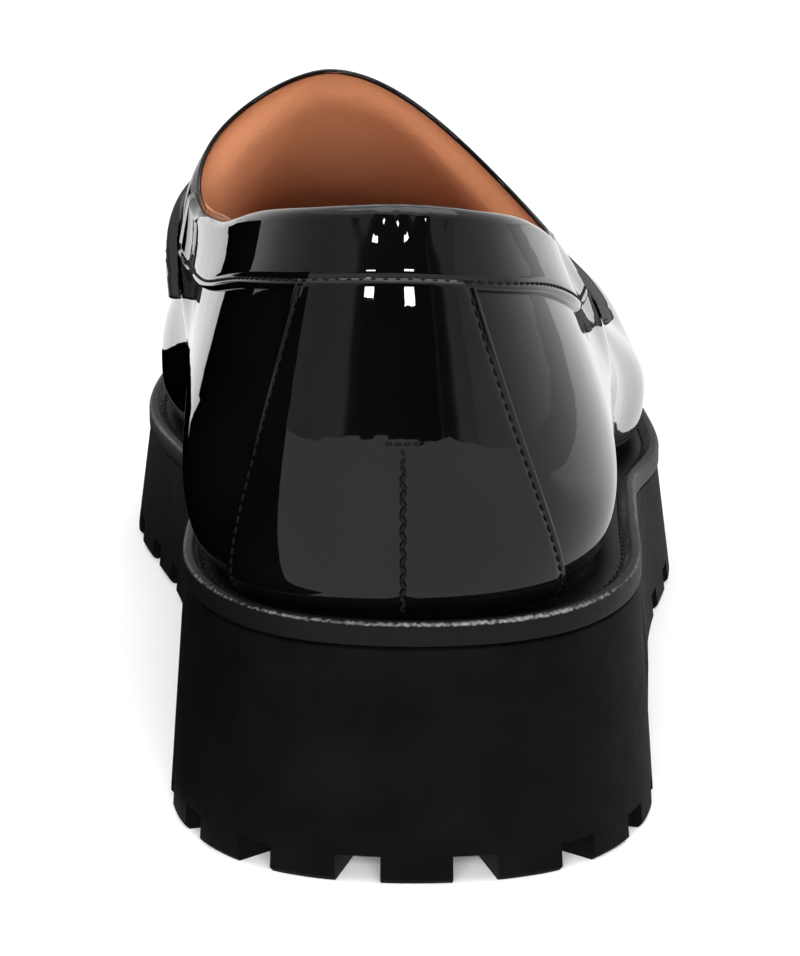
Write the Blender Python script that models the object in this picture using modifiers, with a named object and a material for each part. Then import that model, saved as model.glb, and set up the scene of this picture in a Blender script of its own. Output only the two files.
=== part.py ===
"""Penny loafer for the right foot: a patent upper on a welted one-piece lug sole.

The frame has +Y towards the toe, +X towards the outer (lateral) side and +Z up. The origin is on the
floor, under the middle of the sole. Sizes below are in millimetres, and MM turns them into metres.
Lengths along the shoe, called y, are measured from the back of the sole.
"""

import math

import bmesh
import bpy
import numpy as np
from mathutils import Vector

MM = 0.001
OUTER, INNER = 1, -1

# Driving dimensions of the last and the sole
SOLE_LENGTH = 270.0
HEEL_HEIGHT = 35.8
TOE_SPRING = 9.0
WELT_THICKNESS = 3.3
WALL_THICKNESS = 2.2
INSOLE_THICKNESS = 3.0
SEAT_GAP = 0.3
OVERLAY_GAP = 0.4
OVERLAY_THICKNESS = 1.1
STRAP_THICKNESS = 1.8
COLLAR_BAND_DEPTH = 12.0
COLLAR_BAND_NARROWING = {OUTER: 1.7, INNER: 1.5}

# Plan of the sole at its top edge: distance from the back, inner edge and outer edge
BACK_TIP = (1.4, 0.0)
TOE_TIP = (-5.0, SOLE_LENGTH)
PLAN_COLUMNS = ("y", "inner", "outer")
PLAN = (
    (6.5, -20.3, 22.7),
    (27.0, -32.6, 34.6),
    (52.0, -35.0, 36.8),
    (85.0, -34.6, 37.8),
    (120.0, -34.8, 39.4),
    (146.0, -37.0, 42.2),
    (170.0, -41.4, 45.8),
    (203.0, -48.0, 44.8),
    (232.0, -45.0, 38.6),
    (255.0, -32.6, 23.4),
)
SOLE_FLARE = 2.2

# Height of the sole's top along the shoe
SOLE_TOP_COLUMNS = ("y", "z")
SOLE_TOP = (
    (0.0, HEEL_HEIGHT),
    (50.0, HEEL_HEIGHT),
    (100.0, 31.0),
    (150.0, 22.8),
    (185.0, 20.2),
    (225.0, 22.0),
    (270.0, 29.0),
)

# How far the upper stands inside the sole's edge where it is widest, how far it is set over to the
# inner side, how far it tucks in below its widest place, and how high that lies over the sole
WALL_COLUMNS = ("y", "overhang", "set_over", "tuck", "widest")
WALL = (
    (0.0, 3.2, 1.8, 3.0, 18.0),
    (45.0, 2.2, 2.0, 4.6, 19.0),
    (80.0, 1.8, 2.4, 5.4, 21.0),
    (112.0, 1.6, 2.4, 5.8, 22.0),
    (160.0, 2.0, 1.0, 4.0, 16.0),
    (210.0, 2.6, 0.0, 2.8, 13.0),
    (270.0, 4.4, 0.0, 2.6, 11.0),
)

# Shoulder line, which is the topline on the quarters and the turn of the vamp in front of them.
# A row is a rib, named by the place of its widest point; the first row is the back and the last the toe.
SHOULDER_COLUMNS = ("rib", "y", "inner_x", "outer_x", "inner_z", "outer_z")
SHOULDER = (
    (0.0, 11.5, -0.6, -0.6, 100.3, 100.3),
    (10.0, 15.8, -14.4, 11.0, 99.0, 98.4),
    (27.0, 29.0, -22.0, 16.6, 95.8, 94.6),
    (52.0, 52.0, -27.6, 21.0, 90.0, 87.0),
    (80.0, 80.0, -31.8, 22.6, 85.6, 80.4),
    (97.0, 97.0, -34.0, 23.4, 85.6, 79.2),
    (104.0, 104.0, -35.0, 22.0, 87.8, 78.6),
    (114.0, 114.0, -33.4, 19.6, 83.2, 75.2),
    (150.0, 150.0, -33.6, 26.8, 66.0, 59.4),
    (190.0, 190.0, -37.0, 30.4, 57.5, 50.0),
    (225.0, 222.0, -35.0, 29.4, 50.0, 49.6),
    (252.0, 244.5, -24.0, 15.0, 48.0, 48.4),
    (270.0, 257.0, -5.2, -5.2, 48.0, 48.0),
)

# Ridge of the vamp, from behind the tongue's tip down the instep to the toe
RIDGE_COLUMNS = ("y", "x", "z")
RIDGE = (
    (80.0, -9.0, 118.0),
    (97.0, -11.8, 109.0),
    (114.0, -12.8, 101.0),
    (145.0, -12.0, 85.5),
    (175.0, -10.6, 73.0),
    (205.0, -8.8, 63.5),
    (236.0, -7.0, 56.0),
)
CONE_RISE = 0.6
HEEL_LEAN = 6.0
HEEL_LEAN_FADE = (4.0, 60.0)
VAMP_BLEND = (78.0, 107.0)
# Which point of that line the rib from each place on the widest outline runs up to
FAN_COLUMNS = ("y", "ridge")
FAN = (
    (0.0, 80.0),
    (60.0, 84.0),
    (97.0, 98.0),
    (114.0, 114.0),
    (150.0, 150.0),
    (200.0, 197.0),
    (270.0, 236.0),
)

# The opening's edge follows the shoulder line to the corner and then turns up to the tongue's tip
TONGUE_TIP = 107.0
TONGUE_CORNER = 96.0
TONGUE_ROUNDING = 2.4

# Tread: heel, raised arch, forefoot, and grooves that leave lugs round the edge and bars in the middle
HEEL_BREAST = 78.0
FOREFOOT_TREAD = 124.0
ARCH_RISE = 11.0
TOE_SPRING_START = 192.0
TREAD_EDGE = 0.7
LUG_PITCH = 17.8
GROOVE_WIDTH = 7.2
GROOVE_TAPER = 0.85
GROOVE_DEPTH = 4.2
GROOVE_LENGTH = 13.0
BAR_GROOVES = (24.0, 50.0, 142.0, 160.0, 180.0, 200.0, 220.0, 238.0)
BAR_GROOVE_WIDTH = 6.0
BAR_GROOVE_DEPTH = 3.2
EDGE_BAND = 19.0
BELOW_FLOOR = -6.0

# Overlays on the upper. A place on the shoe is a y, and t runs up a rib from 0 at the sole to 1 at the ridge.
COUNTER_TOP = {OUTER: 6.3, INNER: 9.5}
COUNTER_FOOT = {OUTER: 15.6, INNER: 17.5}
BAND_END = 95.0
STRAP_SWEEP = 1.5
STRAP_BACK = (127.0, 98.0)
STRAP_FRONT = (151.0, 139.0)
STRAP_END_HEIGHT = {OUTER: 59.0, INNER: 63.5}
SLOT_CENTRE = (-12.0, 139.0)
SLOT_SIZE = (32.0, 5.0)
APRON_SEAM = 0.74

MERGE_DISTANCE = 2e-5
RIB_KNOTS = (0.0, 0.30, 0.65, 1.0)

COLOURS = {
    "patent_black": ((0.006, 0.006, 0.007), 0.06),
    "rubber_black": ((0.012, 0.012, 0.013), 0.75),
    "welt_black": ((0.03, 0.03, 0.031), 0.5),
    "tan_leather": ((0.36, 0.13, 0.06), 0.6),
}


def column(rows, names, wanted):
    """One named column of a table."""
    return np.array([row[names.index(wanted)] for row in rows])


def spline(knots, values):
    """The natural cubic spline through values, one for each knot, as a function."""
    knots = np.asarray(knots, float)
    values = np.asarray(values, float)
    step = np.diff(knots)
    count = len(knots)
    matrix = np.eye(count)
    bends = np.zeros_like(values)
    for i in range(1, count - 1):
        matrix[i, i - 1 : i + 2] = step[i - 1], 2 * (step[i - 1] + step[i]), step[i]
        slope_after = (values[i + 1] - values[i]) / step[i]
        slope_before = (values[i] - values[i - 1]) / step[i - 1]
        bends[i] = 6 * (slope_after - slope_before)
    bends = np.linalg.solve(matrix, bends)

    def at(where):
        where = np.clip(np.asarray(where, float), knots[0], knots[-1])
        i = np.clip(np.searchsorted(knots, where, "right") - 1, 0, count - 2)
        gap = step[i]
        left = (knots[i + 1] - where) / gap
        right = (where - knots[i]) / gap
        if values.ndim > 1:
            gap, left, right = gap[..., None], left[..., None], right[..., None]
        bend = (left**3 - left) * bends[i] + (right**3 - right) * bends[i + 1]
        return left * values[i] + right * values[i + 1] + bend * gap**2 / 6

    return at


def table(rows, names, wanted):
    """A named column of a table as a smooth function of its y column."""
    return spline(column(rows, names, "y"), column(rows, names, wanted))


def closed_curve(points, samples=4000):
    """A smooth closed curve through the points, as a dense polyline."""
    points = np.asarray(points, float)
    wrap = 5
    loop = np.concatenate([points[-wrap:], points, points[: wrap + 1]])
    chord = np.linalg.norm(np.diff(loop, axis=0), axis=1)
    along = np.concatenate([[0], np.cumsum(chord)])
    start, end = along[wrap], along[wrap + len(points)]
    return spline(along, loop)(np.linspace(start, end, samples, endpoint=False))


def outward(loop):
    """Unit normals of a closed polyline that runs anticlockwise."""
    along = np.roll(loop, -1, axis=0) - np.roll(loop, 1, axis=0)
    normals = np.stack([along[:, 1], -along[:, 0]], axis=1)
    return normals / np.linalg.norm(normals, axis=1, keepdims=True)


def sole_loop():
    """The sole's top edge, anticlockwise from the back of the heel."""
    y = column(PLAN, PLAN_COLUMNS, "y")
    outer = np.stack([column(PLAN, PLAN_COLUMNS, "outer"), y], axis=1)
    inner = np.stack([column(PLAN, PLAN_COLUMNS, "inner"), y], axis=1)
    return closed_curve([BACK_TIP, *outer, TOE_TIP, *inner[::-1]])


def rails(loop):
    """The outer and inner halves of a closed outline, as functions of r: 0 at the heel, 1 at the toe."""
    turned = np.roll(loop, -loop[:, 1].argmin(), axis=0)
    tip = turned[:, 1].argmax()
    halves = {OUTER: turned[: tip + 1], INNER: np.concatenate([turned[tip:], turned[:1]])[::-1]}
    r = np.linspace(0, 1, 81)
    y = turned[0, 1] + (turned[tip, 1] - turned[0, 1]) * (1 - np.cos(math.pi * r)) / 2
    made = {}
    for side, half in halves.items():
        x = np.interp(y, half[:, 1], half[:, 0])
        made[side] = spline(r, np.stack([x, y], axis=1))
    return made


SOLE_LOOP = sole_loop()
sole_top = table(SOLE_TOP, SOLE_TOP_COLUMNS, "z")


def inset_loop(amount):
    """The sole's outline moved inwards by an amount for each of its points."""
    return SOLE_LOOP - outward(SOLE_LOOP) * np.reshape(amount, (-1, 1))


overhang = table(WALL, WALL_COLUMNS, "overhang")
set_over = table(WALL, WALL_COLUMNS, "set_over")
tuck = table(WALL, WALL_COLUMNS, "tuck")
widest_height = table(WALL, WALL_COLUMNS, "widest")
ridge_x = table(RIDGE, RIDGE_COLUMNS, "x")
ridge_z = table(RIDGE, RIDGE_COLUMNS, "z")
ridge_y_of = table(FAN, FAN_COLUMNS, "ridge")


def upper_loop(extra):
    """An outline of the upper: the sole's edge moved in by the overhang and an extra, and set over."""
    y = SOLE_LOOP[:, 1]
    loop = inset_loop(overhang(y) + extra)
    loop[:, 0] -= set_over(y)
    return loop


WIDEST = rails(upper_loop(0.0))
FEATHER = rails(upper_loop(tuck(SOLE_LOOP[:, 1])))
INSOLE_EDGE = rails(upper_loop(tuck(SOLE_LOOP[:, 1]) + WALL_THICKNESS + 0.7))


def hermite(a, b, slope_a, slope_b, width, s):
    """A cubic from a to b over a stretch of the given width, at the fraction s of it."""
    return (
        a * (2 * s**3 - 3 * s**2 + 1)
        + slope_a * width * (s**3 - 2 * s**2 + s)
        + b * (3 * s**2 - 2 * s**3)
        + slope_b * width * (s**3 - s**2)
    )


def r_at(y):
    """The rib whose widest point lies at y."""
    low, high = WIDEST[OUTER](0.0)[1], WIDEST[OUTER](1.0)[1]
    return np.arccos(np.clip(1 - 2 * (np.asarray(y, float) - low) / (high - low), -1, 1)) / math.pi


def shoulder_line():
    """The shoulder line as one closed curve: over r on the outer side and 2 - r on the inner side."""

    def points(side):
        names = ("inner_x", "y", "inner_z") if side == INNER else ("outer_x", "y", "outer_z")
        return np.stack([column(SHOULDER, SHOULDER_COLUMNS, name) for name in names], axis=1)

    r = r_at(column(SHOULDER, SHOULDER_COLUMNS, "rib"))
    knots = np.concatenate([r, 2 - r[-2:0:-1]])
    line = np.concatenate([points(OUTER), points(INNER)[-2:0:-1]])
    return spline(np.concatenate([knots - 2, knots, knots + 2]), np.concatenate([line, line, line]))


shoulder = shoulder_line()


def smooth_step(low, high, y):
    """A step from 0 to 1 between low and high, with no kink at either end."""
    s = np.clip((y - low) / (high - low), 0, 1)
    return s**3 * (10 - 15 * s + 6 * s**2)


def rib_controls(side, r):
    """Points of the rib at r: feather edge, widest point, shoulder and top, with the slopes at its ends."""

    def lifted(plan, z):
        return np.concatenate([plan, np.asarray(z)[..., None]], axis=-1)

    feather, widest = FEATHER[side](r), WIDEST[side](r)
    y = widest[..., 1]
    low = lifted(feather, sole_top(feather[..., 1]) + SEAT_GAP)
    wide = lifted(widest, sole_top(y) + widest_height(y))
    turn = shoulder(r if side == OUTER else 2 - r)
    ridge_y = ridge_y_of(y)
    top = np.stack([ridge_x(ridge_y), ridge_y, ridge_z(ridge_y)], axis=-1)
    tilt = ridge_z(ridge_y + 0.5) - ridge_z(ridge_y - 0.5)
    reach = top - wide
    reach[..., 2] = tilt * reach[..., 1]

    cone = turn + (turn - wide) * CONE_RISE
    cone[..., 1] += HEEL_LEAN * (1 - smooth_step(*HEEL_LEAN_FADE, y))
    on_vamp = smooth_step(*VAMP_BLEND, y)[..., None]
    lower, middle, upper = np.diff(RIB_KNOTS)
    start = (wide - low) * np.array((1.7, 1.7, 0.9)) / lower
    end_on_vamp = reach * (math.pi / 2) / (middle + upper)
    end_on_cone = (cone - turn) / upper
    return (
        low,
        wide,
        turn,
        cone + (top - cone) * on_vamp,
        start,
        end_on_cone + (end_on_vamp - end_on_cone) * on_vamp,
    )


def last(side, r, t):
    """A point of the upper's outer face: r runs from heel to toe, t from the sole up to the ridge."""
    r, t = np.broadcast_arrays(np.asarray(r, float), np.asarray(t, float))
    p0, p1, p2, p3, d0, d3 = rib_controls(side, r)
    w0, w1, w2 = np.diff(RIB_KNOTS)
    right1 = 3 * ((p1 - p0) / w0**2 + (p2 - p1) / w1**2) - d0 / w0
    right2 = 3 * ((p2 - p1) / w1**2 + (p3 - p2) / w2**2) - d3 / w2
    a, b, c = 2 * (1 / w0 + 1 / w1), 1 / w1, 2 * (1 / w1 + 1 / w2)
    d1 = (c * right1 - b * right2) / (a * c - b * b)
    d2 = (a * right2 - b * right1) / (a * c - b * b)
    k0, k1, k2, k3 = RIB_KNOTS
    t = t[..., None]
    lower = hermite(p0, p1, d0, d1, w0, (t - k0) / w0)
    middle = hermite(p1, p2, d1, d2, w1, (t - k1) / w1)
    upper = hermite(p2, p3, d2, d3, w2, (t - k2) / w2)
    return np.where(t < k1, lower, np.where(t < k2, middle, upper))


def last_normal(side, r, t):
    """The outward unit normal of the last."""
    dr, dt = 1e-3, 1e-3
    r, t = np.broadcast_arrays(np.asarray(r, float), np.asarray(t, float))
    inside = np.clip(r, dr, 1 - dr)
    below = np.clip(t, dt, 1 - dt)
    along = last(side, inside + dr, below) - last(side, inside - dr, below)
    up = last(side, inside, below + dt) - last(side, inside, below - dt)
    normal = np.cross(along, up) * side
    return normal / np.linalg.norm(normal, axis=-1, keepdims=True)


def off_last(side, r, t, away):
    """A point that stands off the upper's outer face by the given distance."""
    return last(side, r, t) + last_normal(side, r, t) * away


R_TONGUE = float(r_at(TONGUE_TIP))
R_CORNER = float(r_at(TONGUE_CORNER))


def t_at_height(side, r, height):
    """The first t of each rib at which it reaches a height."""
    t = np.linspace(0, 1, 801)
    r = np.atleast_1d(np.asarray(r, float))
    values = last(side, r[:, None], t[None, :])[..., 2] - np.reshape(height, (-1, 1))
    over = (values[:, 1:] > 0) & (values[:, :-1] <= 0)
    first = over.argmax(axis=1)
    rows = np.arange(len(r))
    below, above = values[rows, first], values[rows, first + 1]
    found = t[first] + (t[1] - t[0]) * below / (below - above)
    return np.where(over.any(axis=1), found, 1.0)


def t_topline(r):
    """Where each rib meets the edge of the foot opening, or the ridge in front of it."""
    past = np.clip((np.asarray(r, float) - R_CORNER) / (R_TONGUE - R_CORNER), 0, 1)
    shoulder_t = RIB_KNOTS[2]
    return 1 - (1 - shoulder_t) * (1 - past**TONGUE_ROUNDING) ** (1 / TONGUE_ROUNDING)


def t_band(side, r, extra=0.0):
    """The lower edge of the collar band, a set depth under the topline that shrinks towards the strap."""
    top = last(side, r, t_topline(r))[..., 2]
    depth = COLLAR_BAND_DEPTH - COLLAR_BAND_NARROWING[side] * (np.asarray(r) / R_CORNER) ** 2
    return t_at_height(side, r, top - depth - extra)


def clear_scene():
    for obj in list(bpy.data.objects):
        bpy.data.objects.remove(obj, do_unlink=True)


def material(name):
    if name in bpy.data.materials:
        return bpy.data.materials[name]
    colour, roughness = COLOURS[name]
    made = bpy.data.materials.new(name)
    made.use_nodes = True
    shader = made.node_tree.nodes["Principled BSDF"]
    shader.inputs["Base Color"].default_value = (*colour, 1.0)
    shader.inputs["Roughness"].default_value = roughness
    shader.inputs["Metallic"].default_value = 0.0
    return made


def collection(name, hidden=False):
    made = bpy.data.collections.new(name)
    bpy.context.scene.collection.children.link(made)
    made.hide_render = hidden
    return made


def centre_of_sole():
    flared = SOLE_LOOP + outward(SOLE_LOOP) * SOLE_FLARE
    return (flared.min(axis=0) + flared.max(axis=0)) / 2


CENTRE = centre_of_sole()


def placed(point):
    """A point in the part's frame, in metres."""
    return Vector(((point[0] - CENTRE[0]) * MM, (point[1] - CENTRE[1]) * MM, point[2] * MM))


def new_object(name, mesh_maker, group, finish=None):
    """An object from a bmesh that mesh_maker fills."""
    mesh = bpy.data.meshes.new(name)
    built = bmesh.new()
    mesh_maker(built)
    bmesh.ops.recalc_face_normals(built, faces=built.faces)
    built.to_mesh(mesh)
    built.free()
    mesh.shade_smooth()
    mesh.set_sharp_from_angle(angle=math.radians(35))
    made = bpy.data.objects.new(name, mesh)
    group.objects.link(made)
    if finish:
        mesh.materials.append(material(finish))
    return made


def quad(built, corners):
    """A face on the distinct corners, or none if they collapse."""
    distinct = list(dict.fromkeys(corners))
    if len(distinct) > 2 and not built.faces.get(distinct):
        built.faces.new(distinct)


def ladder(built, rings):
    """A closed body from rings of (outer rail, inner rail), with rungs across the first and the last ring."""
    loops = []
    for outer, inner in rings:
        left = [built.verts.new(placed(p)) for p in outer]
        right = [built.verts.new(placed(p)) for p in inner[1:-1]]
        loops.append((left, [left[0], *right, left[-1]]))
    for (a, b), (c, d) in zip(loops, loops[1:]):
        for low, high in ((a, c), (b, d)):
            for i in range(len(low) - 1):
                quad(built, (low[i], low[i + 1], high[i + 1], high[i]))
    for left, right in (loops[0], loops[-1]):
        for i in range(len(left) - 1):
            quad(built, (left[i], left[i + 1], right[i + 1], right[i]))


def ring_band(built, rings):
    """A closed ring from closed loops of points, joined in turn and back to the first."""
    loops = [[built.verts.new(placed(p)) for p in ring] for ring in rings]
    for low, high in zip(loops, loops[1:] + loops[:1]):
        for i in range(len(low)):
            j = (i + 1) % len(low)
            quad(built, (low[i], low[j], high[j], high[i]))


def grid(built, points):
    """An open sheet on a grid of points, with coinciding points merged."""
    verts = [[built.verts.new(placed(p)) for p in row] for row in points]
    for low, high in zip(verts, verts[1:]):
        for i in range(len(low) - 1):
            built.faces.new((low[i], low[i + 1], high[i + 1], high[i]))
    bmesh.ops.remove_doubles(built, verts=built.verts, dist=MERGE_DISTANCE)


def solidify(obj, thickness, outwards=False):
    """A wall of even thickness, behind the face or, with outwards, in front of it."""
    wall = obj.modifiers.new("wall", "SOLIDIFY")
    wall.thickness = thickness * MM
    wall.offset = 1.0 if outwards else -1.0
    wall.use_even_offset = True
    wall.use_quality_normals = True
    return wall


def face_outwards(obj):
    """Turns an open sheet's faces away from the middle of the shoe."""
    mesh = obj.data
    built = bmesh.new()
    built.from_mesh(mesh)
    middle = Vector((0.0, 0.0, 0.055))
    lean = sum((f.calc_center_median() - middle).dot(f.normal) * f.calc_area() for f in built.faces)
    if lean < 0:
        bmesh.ops.reverse_faces(built, faces=built.faces)
    built.to_mesh(mesh)
    built.free()


def tread_height(y):
    """The underside along the shoe: heel, breast, arch, forefoot tread and toe spring."""
    y = np.asarray(y, float)
    arch = np.interp(y, (HEEL_BREAST, HEEL_BREAST + 3, HEEL_BREAST + 14, FOREFOOT_TREAD), (0, 0.8, 1, 0))
    spring = np.clip((y - TOE_SPRING_START) / (SOLE_LENGTH - TOE_SPRING_START), 0, 1.1) ** 2
    return ARCH_RISE * arch + TOE_SPRING * spring


def sole_ribs():
    """Fractions along the sole for its rungs, dense at the ends and exact at the heel breast and the arch."""
    low, high = -SOLE_FLARE, SOLE_LENGTH + SOLE_FLARE
    even = np.linspace(0, 1, 45)
    keys = (HEEL_BREAST, HEEL_BREAST + 3, HEEL_BREAST + 14, FOREFOOT_TREAD, TOE_SPRING_START)
    exact = np.arccos(1 - 2 * (np.array(keys) - low) / (high - low)) / math.pi
    apart = np.abs(even[:, None] - exact[None, :]).min(axis=1) > 0.008
    return np.sort(np.concatenate([even[apart], exact]))


def sole_ring(inset, height):
    """A (outer, inner) pair of rails of the sole, inset from its edge, at a height given for each y."""
    r = sole_ribs()
    edge = rails(inset_loop(np.full(len(SOLE_LOOP), float(inset))))
    pair = []
    for side in (OUTER, INNER):
        plan = edge[side](r)
        pair.append(np.concatenate([plan, height(plan[:, 1])[:, None]], axis=1))
    return pair


def sole_block(built):
    """The sole before its grooves: a chamfered tread edge, a flared side and a top that follows the last."""
    ladder(
        built,
        [
            sole_ring(TREAD_EDGE - SOLE_FLARE, tread_height),
            sole_ring(-SOLE_FLARE, lambda y: tread_height(y) + TREAD_EDGE),
            sole_ring(0.0, sole_top),
        ],
    )


def stations_along_edge():
    """Places of the edge grooves: point, outward direction and height, at an even pitch from the back."""
    edge = SOLE_LOOP + outward(SOLE_LOOP) * SOLE_FLARE
    normals = outward(SOLE_LOOP)
    step = np.linalg.norm(np.roll(edge, -1, axis=0) - edge, axis=1)
    along = np.concatenate([[0], np.cumsum(step)[:-1]])
    perimeter = step.sum()
    count = 2 * round(perimeter / LUG_PITCH / 2)
    pitch = perimeter / count
    found = []
    for i in range(count):
        k = np.searchsorted(along, (i + 0.5) * pitch)
        k = min(k, len(edge) - 1)
        y = edge[k, 1]
        if HEEL_BREAST - 8 < y < FOREFOOT_TREAD + 6:
            continue
        found.append((edge[k], normals[k], float(tread_height(y))))
    return found


def edge_grooves(built):
    """One box for each groove between the lugs, square to the sole's edge."""
    for point, out, floor in stations_along_edge():
        aside = np.array((-out[1], out[0]))
        for vert in bmesh.ops.create_cube(built, size=1.0)["verts"]:
            across, along, up = vert.co
            width = GROOVE_WIDTH if along > 0 else GROOVE_WIDTH * GROOVE_TAPER
            reach = 4.0 if along > 0 else -GROOVE_LENGTH
            plan = point + aside * across * width + out * reach
            vert.co = placed((*plan, floor + GROOVE_DEPTH if up > 0 else BELOW_FLOOR))


def bar_grooves(built):
    """Straight grooves across the middle of the heel and the forefoot."""
    edge = rails(SOLE_LOOP)
    for y in BAR_GROOVES:
        r = math.acos(1 - 2 * y / SOLE_LENGTH) / math.pi
        high = edge[OUTER](r)[0] - EDGE_BAND
        low = edge[INNER](r)[0] + EDGE_BAND
        for vert in bmesh.ops.create_cube(built, size=1.0)["verts"]:
            across, along, up = vert.co
            x = (low + high) / 2 + across * (high - low)
            z = float(tread_height(y)) + BAR_GROOVE_DEPTH if up > 0 else BELOW_FLOOR
            vert.co = placed((x, y + along * BAR_GROOVE_WIDTH, z))


def cut(obj, cutter):
    """Takes a hidden cutter away from an object."""
    cutter.hide_render = True
    cutter.display_type = "WIRE"
    groove = obj.modifiers.new(cutter.name, "BOOLEAN")
    groove.operation = "DIFFERENCE"
    groove.object = cutter
    groove.solver = "EXACT"


def lug_sole(parts, cutters):
    sole = new_object("lug_sole", sole_block, parts, "rubber_black")
    cut(sole, new_object("edge_grooves", edge_grooves, cutters))
    cut(sole, new_object("bar_grooves", bar_grooves, cutters))


def welt_ring(built):
    """A strip round the upper: its inner wall stands just off the upper, its outer edge is rounded."""
    r = np.linspace(0, 1, 41)

    def around(pair):
        return np.concatenate([pair[0], pair[1][-2:0:-1]])

    def edge(inset, height):
        found = rails(inset_loop(np.full(len(SOLE_LOOP), inset)))
        pair = []
        for side in (OUTER, INNER):
            plan = found[side](r)
            z = sole_top(plan[:, 1]) + height
            pair.append(np.concatenate([plan, z[:, None]], axis=1))
        return around(pair)

    def beside_upper(height):
        pair = []
        for side in (OUTER, INNER):
            t = t_at_height(side, r, sole_top(FEATHER[side](r)[:, 1]) + height)
            out = last_normal(side, r, t)
            out[:, 2] = 0
            out /= np.linalg.norm(out, axis=1, keepdims=True)
            point = last(side, r, t) + out * (SEAT_GAP + 0.15)
            point[:, 2] = sole_top(point[:, 1]) + height
            pair.append(point)
        return around(pair)

    bottom, top = SEAT_GAP, WELT_THICKNESS
    ring_band(
        built,
        [
            beside_upper(bottom + 0.05),
            edge(0.9, bottom),
            edge(0.2, bottom + 0.6),
            edge(0.1, (bottom + top) / 2),
            edge(0.5, top - 0.5),
            edge(1.3, top),
            beside_upper(top),
        ],
    )


def insole_slab(built):
    """The sock on the sole, inside the upper's wall."""
    r = np.linspace(0, 1, 33)
    rings = []
    for height in (SEAT_GAP, SEAT_GAP + INSOLE_THICKNESS):
        pair = []
        for side in (OUTER, INNER):
            plan = INSOLE_EDGE[side](r)
            pair.append(np.concatenate([plan, sole_top(plan[:, 1])[:, None] + height], axis=1))
        rings.append(pair)
    ladder(built, rings)


def upper_sheet(built):
    """The outer face of the upper, from the sole to the topline, and over the ridge before the tongue."""
    behind, before, rows = 26, 22, 15
    r = np.concatenate(
        [
            R_TONGUE * np.sin(np.linspace(0, math.pi / 2, behind)),
            np.linspace(R_TONGUE, 1, before)[1:],
        ]
    )
    share = np.linspace(0, 1, rows)
    for side in (OUTER, INNER):
        t = t_topline(r)[:, None] * share[None, :]
        grid(built, last(side, r[:, None], t))


def overlay(name, half, thickness, parts):
    """A thin solid that lies on the upper: a sheet of (r, t) for each side, lifted and given a thickness."""

    def sheet(built):
        for side in (OUTER, INNER):
            r, t = half(side)
            grid(built, off_last(side, r, t, OVERLAY_GAP))

    made = new_object(name, sheet, parts, "patent_black")
    face_outwards(made)
    solidify(made, thickness, outwards=True)
    return made


def strap_edge(edge, down):
    """A long edge of the strap: its y at the ridge, and further down, where down is 1 at the strap's end."""
    centre, end = edge
    return centre + (end - centre) * down**STRAP_SWEEP


def strap_sheet(side):
    """Half of the saddle strap, from the ridge down to its end on one side."""
    down = np.linspace(0, 1, 13)[:, None]
    across = np.linspace(0, 1, 7)[None, :]
    back, front = strap_edge(STRAP_BACK, down), strap_edge(STRAP_FRONT, down)
    r = r_at(back + (front - back) * across)
    end = t_at_height(side, r[-1], STRAP_END_HEIGHT[side])
    return r, 1 - down * (1 - end[None, :])


def strap_slot(built):
    """The upright cutter of the slot in the middle of the strap."""
    ends = []
    for z in (60.0, 120.0):
        ring = []
        for angle in np.linspace(0, 2 * math.pi, 24, endpoint=False):
            x = SLOT_CENTRE[0] + SLOT_SIZE[0] / 2 * math.cos(angle)
            y = SLOT_CENTRE[1] + SLOT_SIZE[1] / 2 * math.sin(angle)
            ring.append(built.verts.new(placed((x, y, z))))
        ends.append(ring)
        built.faces.new(ring)
    for i in range(24):
        j = (i + 1) % 24
        built.faces.new((ends[0][i], ends[0][j], ends[1][j], ends[1][i]))


def apron_sheet(side):
    """Half of the apron, from the strap to the toe and from its seam up to the ridge."""
    up = np.linspace(0, 1, 7)[None, :]
    forward = np.linspace(0, 1, 19)[:, None]
    t = APRON_SEAM + (1 - APRON_SEAM) * up
    strap_end = t_at_height(side, r_at(STRAP_FRONT[1]), STRAP_END_HEIGHT[side])
    start = r_at(strap_edge(STRAP_FRONT, np.clip((1 - t) / (1 - strap_end), 0, 1)) + 1.0)
    r = start + (1 - start) * forward
    return r, np.broadcast_to(t, r.shape)


def collar_band_sheet(side):
    """Half of the collar band, from the back of the heel to the strap."""
    r = np.linspace(0, float(r_at(BAND_END)), 21)
    top, low = t_topline(r), t_band(side, r)
    t = low[:, None] + (top - low)[:, None] * np.linspace(0, 1, 4)[None, :]
    return np.broadcast_to(r[:, None], t.shape), t


def counter_sheet(side):
    """Half of the heel counter, which widens from the collar band down to the welt."""
    up = np.linspace(0, 1, 9)
    wide = np.linspace(0, 1, 7)
    widest_at_foot, widest_at_top = r_at(COUNTER_FOOT[side]), r_at(COUNTER_TOP[side])
    reach = widest_at_foot + (widest_at_top - widest_at_foot) * up
    r = wide[:, None] * reach[None, :]
    foot = t_at_height(side, r.ravel(), HEEL_HEIGHT + WELT_THICKNESS + 1.2).reshape(r.shape)
    head = t_band(side, r.ravel(), extra=0.8).reshape(r.shape)
    t = foot + (head - foot) * up[None, :]
    return r, t


def build():
    clear_scene()
    parts = collection("loafer")
    cutters = collection("cutters", hidden=True)
    lug_sole(parts, cutters)
    new_object("welt", welt_ring, parts, "welt_black")
    new_object("insole", insole_slab, parts, "tan_leather")
    upper = new_object("upper", upper_sheet, parts, "patent_black")
    face_outwards(upper)
    solidify(upper, WALL_THICKNESS)
    overlay("collar_band", collar_band_sheet, OVERLAY_THICKNESS, parts)
    overlay("heel_counter", counter_sheet, OVERLAY_THICKNESS, parts)
    overlay("apron", apron_sheet, OVERLAY_THICKNESS, parts)
    strap = overlay("saddle_strap", strap_sheet, STRAP_THICKNESS, parts)
    cut(strap, new_object("strap_slot", strap_slot, cutters))


build()
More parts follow.
